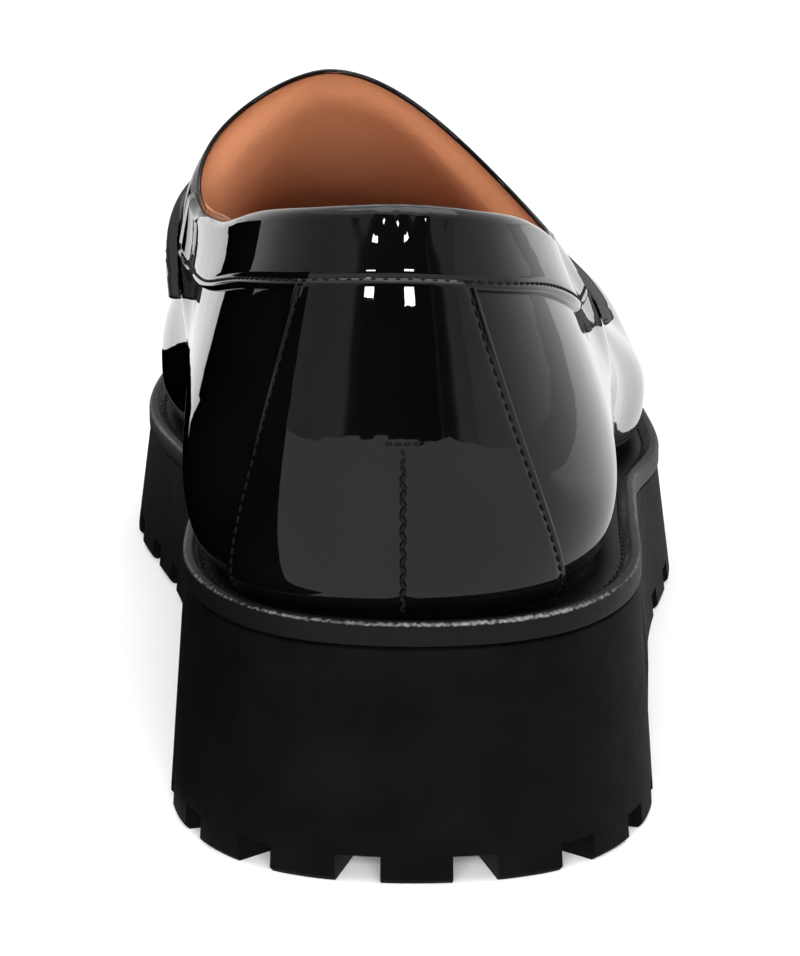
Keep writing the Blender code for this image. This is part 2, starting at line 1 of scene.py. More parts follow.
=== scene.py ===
# %% [markdown]
# # A patent leather loafer, dressed in Blender
# The frame holds the shoe's plain solids at their real size. This lesson lays the looks over them:
# a glossy upper with a tan lining, folded and stitched panels, a milled welt and a moulded lug
# sole. Every piece is worked out from the same last as the solids, so nothing has to be fitted
# afterwards.

# %% Load the frame
import math

import bmesh
import bpy
import numpy as np
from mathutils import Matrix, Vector


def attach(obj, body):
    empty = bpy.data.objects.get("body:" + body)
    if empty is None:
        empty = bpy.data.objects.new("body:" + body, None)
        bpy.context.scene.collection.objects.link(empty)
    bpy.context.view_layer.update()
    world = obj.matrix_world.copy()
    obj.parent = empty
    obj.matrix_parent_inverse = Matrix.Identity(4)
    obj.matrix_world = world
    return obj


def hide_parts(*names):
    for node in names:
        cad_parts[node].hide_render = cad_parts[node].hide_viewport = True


MM = 0.001
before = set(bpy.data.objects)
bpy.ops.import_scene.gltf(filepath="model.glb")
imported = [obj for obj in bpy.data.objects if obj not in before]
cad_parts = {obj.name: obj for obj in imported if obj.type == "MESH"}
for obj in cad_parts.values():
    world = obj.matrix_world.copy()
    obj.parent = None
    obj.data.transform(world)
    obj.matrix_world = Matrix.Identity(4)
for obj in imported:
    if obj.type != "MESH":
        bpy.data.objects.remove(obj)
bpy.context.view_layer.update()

# %% [markdown]
# ## The sole in numbers
# A shoe starts from two things: the outline of its sole, and the last, a foot-shaped form that the
# leather is pulled over. The sole comes first, as a few named sizes, its plan and the height of its
# top. All lengths are millimetres, and y runs from the back of the sole to the toe. A mesh could be
# sculpted instead, but tables keep the shoe's measures in one readable place.

# %% Sizes of the sole
OUTER, INNER = 1, -1
SOLE_LENGTH = 270.0
HEEL_HEIGHT = 35.8
WELT_THICKNESS = 3.3
WALL_THICKNESS = 2.2
SEAT_GAP = 0.3
SOLE_FLARE = 2.2
BACK_TIP = (1.4, 0.0)
TOE_TIP = (-5.0, SOLE_LENGTH)
PLAN_COLUMNS = ("y", "inner", "outer")
PLAN = (
    (6.5, -20.3, 22.7),
    (27.0, -32.6, 34.6),
    (52.0, -35.0, 36.8),
    (85.0, -34.6, 37.8),
    (120.0, -34.8, 39.4),
    (146.0, -37.0, 42.2),
    (170.0, -41.4, 45.8),
    (203.0, -48.0, 44.8),
    (232.0, -45.0, 38.6),
    (255.0, -32.6, 23.4),
)
SOLE_TOP_COLUMNS = ("y", "z")
SOLE_TOP = (
    (0.0, HEEL_HEIGHT),
    (50.0, HEEL_HEIGHT),
    (100.0, 31.0),
    (150.0, 22.8),
    (185.0, 20.2),
    (225.0, 22.0),
    (270.0, 29.0),
)
print("Sole:", SOLE_LENGTH, "mm long,", len(PLAN), "sections in plan")

# %% [markdown]
# ## The last in numbers
# Four more tables give the last: how the wall of the upper stands over the sole's edge, the
# shoulder line where the foot opening is, the ridge of the instep, and a fan that says which place
# on the ridge each rib climbs to. A scan of a real last could give these lines, but a dozen rows
# are enough for a smooth one.

# %% Sections of the last
WALL_COLUMNS = ("y", "overhang", "set_over", "tuck", "widest")
WALL = (
    (0.0, 3.2, 1.8, 3.0, 18.0),
    (45.0, 2.2, 2.0, 4.6, 19.0),
    (80.0, 1.8, 2.4, 5.4, 21.0),
    (112.0, 1.6, 2.4, 5.8, 22.0),
    (160.0, 2.0, 1.0, 4.0, 16.0),
    (210.0, 2.6, 0.0, 2.8, 13.0),
    (270.0, 4.4, 0.0, 2.6, 11.0),
)
SHOULDER_COLUMNS = ("rib", "y", "inner_x", "outer_x", "inner_z", "outer_z")
SHOULDER = (
    (0.0, 11.5, -0.6, -0.6, 100.3, 100.3),
    (10.0, 15.8, -14.4, 11.0, 99.0, 98.4),
    (27.0, 29.0, -22.0, 16.6, 95.8, 94.6),
    (52.0, 52.0, -27.6, 21.0, 90.0, 87.0),
    (80.0, 80.0, -31.8, 22.6, 85.6, 80.4),
    (97.0, 97.0, -34.0, 23.4, 85.6, 79.2),
    (104.0, 104.0, -35.0, 22.0, 87.8, 78.6),
    (114.0, 114.0, -33.4, 19.6, 83.2, 75.2),
    (150.0, 150.0, -33.6, 26.8, 66.0, 59.4),
    (190.0, 190.0, -37.0, 30.4, 57.5, 50.0),
    (225.0, 222.0, -35.0, 29.4, 50.0, 49.6),
    (252.0, 244.5, -24.0, 15.0, 48.0, 48.4),
    (270.0, 257.0, -5.2, -5.2, 48.0, 48.0),
)
RIDGE_COLUMNS = ("y", "x", "z")
RIDGE = (
    (80.0, -9.0, 118.0),
    (97.0, -11.8, 109.0),
    (114.0, -12.8, 101.0),
    (145.0, -12.0, 85.5),
    (175.0, -10.6, 73.0),
    (205.0, -8.8, 63.5),
    (236.0, -7.0, 56.0),
)
FAN_COLUMNS = ("y", "ridge")
FAN = (
    (0.0, 80.0),
    (60.0, 84.0),
    (97.0, 98.0),
    (114.0, 114.0),
    (150.0, 150.0),
    (200.0, 197.0),
    (270.0, 236.0),
)
print("Rows of the last:", {"wall": len(WALL), "shoulder": len(SHOULDER), "ridge": len(RIDGE)})

# %% [markdown]
# ## Smooth curves through the tables
# Leather and rubber have no corners between the measured sections, so each table becomes a natural
# cubic spline. Blender's own curve objects could be drawn through the points, but a function can be
# asked for any place between them, and every piece below asks.

# %% Splines


def column(rows, names, wanted):
    """One named column of a table."""
    return np.array([row[names.index(wanted)] for row in rows])


def spline(knots, values):
    """The natural cubic spline through values, one for each knot, as a function."""
    knots = np.asarray(knots, float)
    values = np.asarray(values, float)
    step = np.diff(knots)
    count = len(knots)
    matrix = np.eye(count)
    bends = np.zeros_like(values)
    for i in range(1, count - 1):
        matrix[i, i - 1 : i + 2] = step[i - 1], 2 * (step[i - 1] + step[i]), step[i]
        slope_after = (values[i + 1] - values[i]) / step[i]
        slope_before = (values[i] - values[i - 1]) / step[i - 1]
        bends[i] = 6 * (slope_after - slope_before)
    bends = np.linalg.solve(matrix, bends)

    def at(where):
        where = np.clip(np.asarray(where, float), knots[0], knots[-1])
        i = np.clip(np.searchsorted(knots, where, "right") - 1, 0, count - 2)
        gap = step[i]
        left = (knots[i + 1] - where) / gap
        right = (where - knots[i]) / gap
        if values.ndim > 1:
            gap, left, right = gap[..., None], left[..., None], right[..., None]
        bend = (left**3 - left) * bends[i] + (right**3 - right) * bends[i + 1]
        return left * values[i] + right * values[i + 1] + bend * gap**2 / 6

    return at


def table(rows, names, wanted):
    """A named column of a table as a smooth function of its y column."""
    return spline(column(rows, names, "y"), column(rows, names, wanted))


def unit(vectors):
    """The vectors at a length of one."""
    return vectors / np.linalg.norm(vectors, axis=-1, keepdims=True)


def closed_curve(points, samples=4000):
    """A smooth closed curve through the points, as a dense polyline."""
    points = np.asarray(points, float)
    wrap = 5
    loop = np.concatenate([points[-wrap:], points, points[: wrap + 1]])
    chord = np.linalg.norm(np.diff(loop, axis=0), axis=1)
    along = np.concatenate([[0], np.cumsum(chord)])
    start, end = along[wrap], along[wrap + len(points)]
    return spline(along, loop)(np.linspace(start, end, samples, endpoint=False))


sole_top = table(SOLE_TOP, SOLE_TOP_COLUMNS, "z")
overhang = table(WALL, WALL_COLUMNS, "overhang")
set_over = table(WALL, WALL_COLUMNS, "set_over")
tuck = table(WALL, WALL_COLUMNS, "tuck")
widest_height = table(WALL, WALL_COLUMNS, "widest")
ridge_x = table(RIDGE, RIDGE_COLUMNS, "x")
ridge_z = table(RIDGE, RIDGE_COLUMNS, "z")
ridge_y_of = table(FAN, FAN_COLUMNS, "ridge")
print("Sole's top at the toe:", float(sole_top(SOLE_LENGTH)), "mm")

# %% [markdown]
# ## Outlines of the sole and the upper
# Seen from above, the sole, the upper and the insole share one closed outline, moved in by
# different amounts. It is split into an outer and an inner rail, and r runs along both of them,
# from 0 at the heel to 1 at the toe. An outline could stay one loop, but with two rails a rung
# between them is always square to the shoe.

# %% Outlines and rails


def outward(loop):
    """Unit normals of a closed polyline that runs anticlockwise."""
    along = np.roll(loop, -1, axis=0) - np.roll(loop, 1, axis=0)
    return unit(np.stack([along[:, 1], -along[:, 0]], axis=1))


def sole_loop():
    """The sole's top edge, anticlockwise from the back of the heel."""
    y = column(PLAN, PLAN_COLUMNS, "y")
    outer = np.stack([column(PLAN, PLAN_COLUMNS, "outer"), y], axis=1)
    inner = np.stack([column(PLAN, PLAN_COLUMNS, "inner"), y], axis=1)
    return closed_curve([BACK_TIP, *outer, TOE_TIP, *inner[::-1]])


def around(outer, inner, r):
    """One closed spline through an outer and an inner line: over r on the outer side, 2 - r on the inner."""
    knots = np.concatenate([r, 2 - r[-2:0:-1]])
    line = np.concatenate([outer, inner[-2:0:-1]])
    return spline(np.concatenate([knots - 2, knots, knots + 2]), np.concatenate([line, line, line]))


def rails(loop):
    """The outer and inner halves of a closed outline, as functions of r."""
    turned = np.roll(loop, -loop[:, 1].argmin(), axis=0)
    tip = turned[:, 1].argmax()
    outer, inner = turned[: tip + 1], np.concatenate([turned[tip:], turned[:1]])[::-1]
    r = np.linspace(0, 1, 81)
    y = turned[0, 1] + (turned[tip, 1] - turned[0, 1]) * (1 - np.cos(math.pi * r)) / 2
    halves = [np.stack([np.interp(y, half[:, 1], half[:, 0]), y], axis=1) for half in (outer, inner)]
    whole = around(*halves, r)
    return {OUTER: whole, INNER: lambda at: whole(2 - np.asarray(at))}


SOLE_LOOP = sole_loop()
SOLE_NORMALS = outward(SOLE_LOOP)


def inset_loop(amount):
    """The sole's outline moved inwards by an amount for each of its points."""
    return SOLE_LOOP - SOLE_NORMALS * np.reshape(amount, (-1, 1))


def upper_loop(extra):
    """An outline of the upper: the sole's edge, moved in by the overhang and more, and set over."""
    y = SOLE_LOOP[:, 1]
    loop = inset_loop(overhang(y) + extra)
    loop[:, 0] -= set_over(y)
    return loop


WIDEST = rails(upper_loop(0.0))
FEATHER = rails(upper_loop(tuck(SOLE_LOOP[:, 1])))
INSOLE_EDGE = rails(upper_loop(tuck(SOLE_LOOP[:, 1]) + WALL_THICKNESS))
flared = SOLE_LOOP + SOLE_NORMALS * SOLE_FLARE
CENTRE = np.array([*(flared.min(axis=0) + flared.max(axis=0)) / 2, 0.0])
print("Sole outline:", np.round(flared.max(axis=0) - flared.min(axis=0), 1), "mm")

# %% [markdown]
# ## Ribs and the shoulder line
# The last is made of ribs, one for each r, like the frames of a boat. A rib is found by the y of
# its widest point. The shoulder line, which carries the edge of the foot opening, is one closed
# curve that crosses all the ribs. It could be drawn as two separate sides, but then the heel would
# get a crease where they meet.

# %% Ribs and the shoulder line


def r_at(y):
    """The rib whose widest point lies at y."""
    low, high = WIDEST[OUTER](0.0)[1], WIDEST[OUTER](1.0)[1]
    return np.arccos(np.clip(1 - 2 * (np.asarray(y, float) - low) / (high - low), -1, 1)) / math.pi


def shoulder_line():
    """The shoulder line as one closed curve: over r on the outer side and 2 - r on the inner side."""

    def points(side):
        names = ("inner_x", "y", "inner_z") if side == INNER else ("outer_x", "y", "outer_z")
        return np.stack([column(SHOULDER, SHOULDER_COLUMNS, name) for name in names], axis=1)

    return around(points(OUTER), points(INNER), r_at(column(SHOULDER, SHOULDER_COLUMNS, "rib")))


shoulder = shoulder_line()
print("Back of the collar:", np.round(shoulder(0.0), 1), "mm")

# %% [markdown]
# ## The surface of the upper
# Each rib climbs from the feather edge at the sole, over the widest point and the shoulder, to the
# ridge. Along a rib t runs from 0 to 1. With r and t any place on the leather has an address, and a
# panel is nothing more than a patch of addresses with a height over the last. A subdivided cage
# could give the same form, but no addresses.

# %% The last as a function of side, r and t
RIB_KNOTS = (0.0, 0.30, 0.65, 1.0)
FEATHER_SLOPE = (1.7, 1.7, 0.9)
CONE_RISE = 0.6
HEEL_LEAN = 6.0
HEEL_LEAN_FADE = (4.0, 60.0)
VAMP_BLEND = (78.0, 107.0)


def hermite(a, b, slope_a, slope_b, width, s):
    """A cubic from a to b over a stretch of the given width, at the fraction s of it."""
    return (
        a * (2 * s**3 - 3 * s**2 + 1)
        + slope_a * width * (s**3 - 2 * s**2 + s)
        + b * (3 * s**2 - 2 * s**3)
        + slope_b * width * (s**3 - s**2)
    )


def smooth_step(low, high, y):
    """A step from 0 to 1 between low and high, with no kink at either end."""
    s = np.clip((y - low) / (high - low), 0, 1)
    return s**3 * (10 - 15 * s + 6 * s**2)


def rib_controls(side, r):
    """Points of the rib at r: feather edge, widest point, shoulder and top, with the slopes at its ends."""

    def lifted(plan, z):
        return np.concatenate([plan, np.asarray(z)[..., None]], axis=-1)

    feather, widest = FEATHER[side](r), WIDEST[side](r)
    y = widest[..., 1]
    low = lifted(feather, sole_top(feather[..., 1]) + SEAT_GAP)
    wide = lifted(widest, sole_top(y) + widest_height(y))
    turn = shoulder(r if side == OUTER else 2 - r)
    ridge_y = ridge_y_of(y)
    top = np.stack([ridge_x(ridge_y), ridge_y, ridge_z(ridge_y)], axis=-1)
    tilt = ridge_z(ridge_y + 0.5) - ridge_z(ridge_y - 0.5)
    reach = top - wide
    reach[..., 2] = tilt * reach[..., 1]

    cone = turn + (turn - wide) * CONE_RISE
    cone[..., 1] += HEEL_LEAN * (1 - smooth_step(*HEEL_LEAN_FADE, y))
    on_vamp = smooth_step(*VAMP_BLEND, y)[..., None]
    lower, middle, upper = np.diff(RIB_KNOTS)
    start = (wide - low) * np.array(FEATHER_SLOPE) / lower
    end_on_vamp = reach * (math.pi / 2) / (middle + upper)
    end_on_cone = (cone - turn) / upper
    top = cone + (top - cone) * on_vamp
    return low, wide, turn, top, start, end_on_cone + (end_on_vamp - end_on_cone) * on_vamp


def last(side, r, t):
    """A point of the upper's outer face: r runs from heel to toe, t from the sole up to the ridge."""
    r, t = np.broadcast_arrays(np.asarray(r, float), np.asarray(t, float))
    feather, widest, turn, top, slope_feather, slope_top = rib_controls(side, r)
    lower, middle, upper = np.diff(RIB_KNOTS)
    at_widest = 3 * ((widest - feather) / lower**2 + (turn - widest) / middle**2) - slope_feather / lower
    at_turn = 3 * ((turn - widest) / middle**2 + (top - turn) / upper**2) - slope_top / upper
    first, shared, second = 2 * (1 / lower + 1 / middle), 1 / middle, 2 * (1 / middle + 1 / upper)
    slope_widest = (second * at_widest - shared * at_turn) / (first * second - shared * shared)
    slope_turn = (first * at_turn - shared * at_widest) / (first * second - shared * shared)
    t_feather, t_widest, t_turn = RIB_KNOTS[:3]
    t = t[..., None]
    foot = hermite(feather, widest, slope_feather, slope_widest, lower, (t - t_feather) / lower)
    waist = hermite(widest, turn, slope_widest, slope_turn, middle, (t - t_widest) / middle)
    head = hermite(turn, top, slope_turn, slope_top, upper, (t - t_turn) / upper)
    return np.where(t < t_widest, foot, np.where(t < t_turn, waist, head))


print("Back of the heel at its widest:", np.round(last(OUTER, 0.0, RIB_KNOTS[1]), 1), "mm")

# %% [markdown]
# ## Standing off the last
# A panel has a thickness, so its points stand off the last along the surface's normal. Just above
# the welt the leather is drawn in, and the foot opening is one more line of addresses. A finished
# mesh could be displaced instead, but working on addresses keeps the edge of every panel exact.

# %% Normals, the tuck at the welt and the foot opening
TONGUE_TIP = 107.0
TONGUE_CORNER = 96.0
TONGUE_ROUNDING = 2.4
SEAM = 1e-6
FEATHER_TUCK = 2.0
FEATHER_REACH = 5.0


def side_normal(side, r, t):
    """The outward unit normal of one half of the last."""
    dr, dt = 1e-3, 1e-3
    inside = np.clip(r, dr, 1 - dr)
    below = np.clip(t, dt, 1 - dt)
    along = last(side, inside + dr, below) - last(side, inside - dr, below)
    up = last(side, inside, below + dt) - last(side, inside, below - dt)
    return unit(np.cross(along, up) * side)


def last_normal(side, r, t):
    """The outward unit normal of the last, shared by both halves along the line where they meet."""
    r, t = np.broadcast_arrays(np.asarray(r, float), np.asarray(t, float))
    seam = (r < SEAM) | (r > 1 - SEAM) | (t > 1 - SEAM)
    own = side_normal(side, r, t)
    return np.where(seam[..., None], unit(own + side_normal(-side, r, t)), own)


def tuck_under(points):
    """How far the lasted leather draws in just above the welt."""
    over = points[..., 2] - sole_top(points[..., 1]) - WELT_THICKNESS
    return FEATHER_TUCK * (1 - np.clip(over / FEATHER_REACH, 0, 1)) ** 2


def off_last(side, r, t, away):
    """A point that stands off the upper's outer face by the given distance."""
    r, t, away = np.broadcast_arrays(r, t, np.asarray(away, float))
    points = last(side, r, t)
    return points + last_normal(side, r, t) * (away - tuck_under(points))[..., None]


R_TONGUE = float(r_at(TONGUE_TIP))
R_CORNER = float(r_at(TONGUE_CORNER))


def t_at_height(side, r, height):
    """The first t of each rib at which it reaches a height."""
    t = np.linspace(0, 1, 401)
    r = np.atleast_1d(np.asarray(r, float))
    values = last(side, r[:, None], t[None, :])[..., 2] - np.reshape(height, (-1, 1))
    over = (values[:, 1:] > 0) & (values[:, :-1] <= 0)
    first = over.argmax(axis=1)
    rows = np.arange(len(r))
    below, above = values[rows, first], values[rows, first + 1]
    found = t[first] + (t[1] - t[0]) * below / (below - above)
    return np.where(over.any(axis=1), found, 1.0)


def t_topline(r):
    """Where each rib meets the edge of the foot opening, or the ridge in front of it."""
    past = np.clip((np.asarray(r, float) - R_CORNER) / (R_TONGUE - R_CORNER), 0, 1)
    shoulder_t = RIB_KNOTS[2]
    return 1 - (1 - shoulder_t) * (1 - past**TONGUE_ROUNDING) ** (1 / TONGUE_ROUNDING)


print("Tongue tip at", np.round(last(OUTER, R_TONGUE, 1.0), 1), "mm")

# %% [markdown]
# ## From points to pieces
# Every piece below is a grid of points, or a few grids that meet edge to edge. The helpers turn
# them into a mesh: they weld what coincides, close open ends, point the faces outwards and give an
# open sheet a wall. One of them puts a piece on the body it rides on and hides the plain solids
# that it stands for. Each step could be done by hand in Edit Mode, but in code a changed size
# rebuilds the whole shoe.

# %% Turn grids of points into pieces
WELD_DISTANCE = 4e-6
SHOE_MIDDLE = Vector((0.0, 0.0, 0.055))


def to_frame(points):
    """Shoe millimetres to the frame's metres."""
    return (np.asarray(points, float) - CENTRE) * MM


def grid_faces(rows, columns, first):
    """The four-cornered faces of a grid, whose points are numbered from first."""
    index = first + np.arange(rows * columns).reshape(rows, columns)
    corners = (index[:-1, :-1], index[1:, :-1], index[1:, 1:], index[:-1, 1:])
    return np.stack(corners, axis=-1).reshape(-1, 4).tolist()


def mesh_of(name, grids, close=False):
    """A welded mesh from grids of points, with its faces turned away from the middle of the shoe."""
    faces, first = [], 0
    for grid in grids:
        faces += grid_faces(*grid.shape[:2], first)
        first += grid.shape[0] * grid.shape[1]
    mesh = bpy.data.meshes.new(name)
    mesh.from_pydata(to_frame(np.concatenate([g.reshape(-1, 3) for g in grids])).tolist(), [], faces)
    built = bmesh.new()
    built.from_mesh(mesh)
    bmesh.ops.remove_doubles(built, verts=built.verts, dist=WELD_DISTANCE)
    if close:
        bmesh.ops.holes_fill(built, edges=[e for e in built.edges if e.is_boundary], sides=0)
    bmesh.ops.recalc_face_normals(built, faces=built.faces)
    lean = sum((f.calc_center_median() - SHOE_MIDDLE).dot(f.normal) * f.calc_area() for f in built.faces)
    if lean < 0:
        bmesh.ops.reverse_faces(built, faces=built.faces)
    built.to_mesh(mesh)
    built.free()
    mesh.shade_smooth()
    return mesh


def add_piece(name, mesh, stands_for=()):
    """An object on the shoe's one body, with the solids that it stands for hidden."""
    made = bpy.data.objects.new(name, mesh)
    bpy.context.scene.collection.objects.link(made)
    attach(made, "root")
    if stands_for:
        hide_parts(*stands_for)
    return made


def wall(obj, thickness):
    """A wall behind an open sheet."""
    made = obj.modifiers.new("wall", "SOLIDIFY")
    made.thickness = thickness * MM
    made.offset = -1.0


def bake(obj):
    """Puts an object's modifiers into its mesh."""
    graph = bpy.context.evaluated_depsgraph_get()
    obj.data = bpy.data.meshes.new_from_object(obj.evaluated_get(graph))
    obj.modifiers.clear()


def report(obj):
    """Prints how many triangles a piece has."""
    faces = obj.evaluated_get(bpy.context.evaluated_depsgraph_get()).data.polygons
    print(f"{obj.name}: {sum(len(f.vertices) - 2 for f in faces)} triangles")


print("Points closer than", WELD_DISTANCE / MM, "mm are welded")

# %% [markdown]
# ## Helpers for finishes
# A finish here is a Principled shader whose colour, roughness and relief wander with noise, as on
# real leather and rubber. Each helper adds one step of that. A picture of leather could be wrapped
# round the shoe, but noise in the object's own coordinates has no seams and needs no unwrapping.

# %% Helpers for finishes


def new_material(name, roughness, colour):
    """A material with its node tree and its Principled shader."""
    made = bpy.data.materials.new(name)
    made.use_nodes = True
    shader = made.node_tree.nodes["Principled BSDF"]
    shader.inputs["Roughness"].default_value = roughness
    shader.inputs["Base Color"].default_value = (*colour, 1.0)
    return made, made.node_tree, shader


def noise(tree, scale, detail=2.0):
    """Noise in the object's own metres, so a scale of 1000 has a grain of about 1 mm."""
    place = tree.nodes.get("Texture Coordinate") or tree.nodes.new("ShaderNodeTexCoord")
    made = tree.nodes.new("ShaderNodeTexNoise")
    made.inputs["Scale"].default_value = scale
    made.inputs["Detail"].default_value = detail
    tree.links.new(place.outputs["Object"], made.inputs["Vector"])
    return made.outputs["Fac"]


def blend_colours(tree, factor, stops):
    """A colour ramp of (position, colour) stops along a factor."""
    made = tree.nodes.new("ShaderNodeValToRGB")
    ramp = made.color_ramp
    while len(ramp.elements) < len(stops):
        ramp.elements.new(0.5)
    for element, (position, colour) in zip(ramp.elements, stops):
        element.position = position
        element.color = (*colour, 1.0)
    tree.links.new(factor, made.inputs["Fac"])
    return made.outputs["Color"]


def span(tree, factor, low, high):
    """A factor from 0 to 1 spread over low to high."""
    made = tree.nodes.new("ShaderNodeMapRange")
    made.inputs["To Min"].default_value = low
    made.inputs["To Max"].default_value = high
    tree.links.new(factor, made.inputs["Value"])
    return made.outputs["Result"]


def vary_roughness(tree, shader, scale, low, high):
    """Lets the roughness wander between two values, with noise of a scale."""
    tree.links.new(span(tree, noise(tree, scale), low, high), shader.inputs["Roughness"])


def add_bump(tree, shader, height, depth_mm):
    """Adds relief of a depth to whatever relief the shader already has."""
    made = tree.nodes.new("ShaderNodeBump")
    made.inputs["Distance"].default_value = depth_mm * MM
    tree.links.new(height, made.inputs["Height"])
    before = shader.inputs["Normal"].links
    if before:
        tree.links.new(before[0].from_socket, made.inputs["Normal"])
    tree.links.new(made.outputs["Normal"], shader.inputs["Normal"])


print("A grain of 1 mm needs a noise scale of about", 1 / MM)

# %% [markdown]
# ## Patent finish
# Patent leather is leather under a thick clear film. A Principled shader with a full coat gives the
# film, and the dyed leather under it has no gloss of its own. Three scales of noise feed a bump:
# slow waves a finger wide, where the leather was pulled over the last, smaller ripples, and a fine
# orange peel. Without them the reflections would be as straight as in glass.

# %% Patent leather
PATENT_BLACK = (0.0008, 0.0008, 0.001)
PATENT_SHEEN = (0.0014, 0.0014, 0.0017)
PATENT_WAVES = ((70.0, 0.08), (210.0, 0.022), (450.0, 0.006))
FILM_ROUGHNESS = 0.012


def patent_leather():
    """Black leather under a clear film that shows waves of three sizes."""
    made, tree, shader = new_material("patent_leather", 0.05, PATENT_BLACK)
    shader.inputs["Specular IOR Level"].default_value = 0.0
    shader.inputs["Coat Weight"].default_value = 1.0
    shader.inputs["Coat Roughness"].default_value = FILM_ROUGHNESS
    tone = blend_colours(tree, noise(tree, 60.0), ((0.35, PATENT_BLACK), (0.65, PATENT_SHEEN)))
    tree.links.new(tone, shader.inputs["Base Color"])
    vary_roughness(tree, shader, 140.0, 0.03, 0.09)
    for scale, depth_mm in PATENT_WAVES:
        add_bump(tree, shader, noise(tree, scale, 1.0), depth_mm)
    wave = shader.inputs["Normal"].links[0].from_socket
    tree.links.new(wave, shader.inputs["Coat Normal"])
    return made


PATENT = patent_leather()
print("Finish:", PATENT.name)

# %% [markdown]
# ## Tan lining
# The lining is smooth vegetable-tanned leather: matte, warm, a little uneven in colour, with a fine
# pore grain. Noise alone would look like sand, so a Voronoi texture makes the pores, and slow noise
# the waves of the hide.

# %% Lining leather
TAN = (0.56, 0.245, 0.125)
TAN_DEEP = (0.49, 0.205, 0.098)
PORE_SCALE, PORE_DEPTH = 1100.0, 0.05
HIDE_SCALE, HIDE_DEPTH = 120.0, 0.15


def lining_leather():
    """Matte tan leather with pores."""
    made, tree, shader = new_material("lining_leather", 0.55, TAN)
    tone = blend_colours(tree, noise(tree, 45.0, 4.0), ((0.3, TAN_DEEP), (0.7, TAN)))
    tree.links.new(tone, shader.inputs["Base Color"])
    vary_roughness(tree, shader, 500.0, 0.48, 0.66)
    shader.inputs["Specular IOR Level"].default_value = 0.2
    place = tree.nodes["Texture Coordinate"]
    pores = tree.nodes.new("ShaderNodeTexVoronoi")
    pores.inputs["Scale"].default_value = PORE_SCALE
    tree.links.new(place.outputs["Object"], pores.inputs["Vector"])
    add_bump(tree, shader, pores.outputs["Distance"], PORE_DEPTH)
    add_bump(tree, shader, noise(tree, HIDE_SCALE), HIDE_DEPTH)
    return made


LINING = lining_leather()
print("Finish:", LINING.name)

# %% [markdown]
# ## A grid for the upper
# The upper is a grid of addresses, columns from heel to toe and rows from the sole to the foot
# opening. Under the tongue, whose edge curves up steeply, upright columns would end in slivers, so
# there they lean towards the heel.

# %% Addresses on the upper
COLUMNS_BEHIND, COLUMNS_TONGUE, COLUMNS_BEFORE, ROWS = 90, 44, 66, 56
TONGUE_LEAN = 132.0


def tongue_edge_addresses(count):
    """Addresses r and t along the edge of the tongue, from its corner at the quarter to its tip."""
    turn = np.linspace(0, math.pi / 2, count)
    past = np.sin(turn) ** (2 / TONGUE_ROUNDING)
    rise = np.clip(np.cos(turn), 0, 1) ** (2 / TONGUE_ROUNDING)
    return R_CORNER + past * (R_TONGUE - R_CORNER), 1 - (1 - RIB_KNOTS[2]) * rise


def topline_addresses(y_from, count=160):
    """Addresses along the foot opening's edge, from a place on the quarter to the tongue's tip."""
    behind = np.linspace(float(r_at(y_from)), R_CORNER, count // 4, endpoint=False)
    r, t = tongue_edge_addresses(count)
    return np.concatenate([behind, r]), np.concatenate([np.full(len(behind), RIB_KNOTS[2]), t])


def upper_addresses():
    """Addresses over half of the upper, in columns that lean under the tongue's steep edge."""
    behind = np.linspace(0, R_CORNER, COLUMNS_BEHIND, endpoint=False)
    edge_r, edge_t = tongue_edge_addresses(COLUMNS_TONGUE)
    lean = float(r_at(TONGUE_LEAN))
    top = np.concatenate([behind, edge_r, np.linspace(R_TONGUE, 1, COLUMNS_BEFORE)[1:]])
    under = np.linspace(R_CORNER, lean, COLUMNS_TONGUE)
    foot = np.concatenate([behind, under, np.linspace(lean, 1, COLUMNS_BEFORE)[1:]])
    top_t = np.concatenate([np.full(COLUMNS_BEHIND, RIB_KNOTS[2]), edge_t, np.ones(COLUMNS_BEFORE - 1)])
    up = np.linspace(0, 1, ROWS)
    return foot[:, None] + (top - foot)[:, None] * up**2, top_t[:, None] * up


upper_r, upper_t = upper_addresses()
print("Grid of half the upper:", upper_r.shape)

# %% [markdown]
# ## The upper and its lining
# Vamp and quarters are one skin of patent leather, pulled over the last, with the lining glued
# inside it. Both are open sheets on the last's own addresses, and a Solidify modifier gives them
# their thickness. One thick shell with two materials could do as well, but the lining has to draw
# closer to the skin at the tongue, where the edge is thin.

# %% Skin and lining
SKIN_THICKNESS = 0.3
LINING_THICKNESS = 0.4
TONGUE_WALL = 0.55
TONGUE_TAPER = 14.0
LIP_ANGLE = math.radians(40)


def distance_to(points, line):
    """How far each point is from a polyline."""
    flat = points.reshape(-1, 3)
    nearest = np.full(len(flat), np.inf)
    for a, b in zip(line, line[1:]):
        along = b - a
        share = np.clip((flat - a) @ along / max(along @ along, 1e-12), 0, 1)
        nearest = np.minimum(nearest, np.linalg.norm(flat - a - share[:, None] * along, axis=1))
    return nearest.reshape(points.shape[:-1])


def lining_depth(side, r, t):
    """How deep the lining's back lies under the last: shallower at the tongue's thinned edge."""
    edge = last(side, *topline_addresses(TONGUE_CORNER, 60))
    inside = smooth_step(0.0, TONGUE_TAPER, distance_to(last(side, r, t), edge))
    return LINING_THICKNESS - TONGUE_WALL - (WALL_THICKNESS - TONGUE_WALL) * inside


def half_skin(side):
    """Points of one half of the skin."""
    return off_last(side, upper_r, upper_t, 0.0)


def half_lining(side):
    """Points of one half of the lining's back."""
    return off_last(side, upper_r, upper_t, lining_depth(side, upper_r, upper_t))


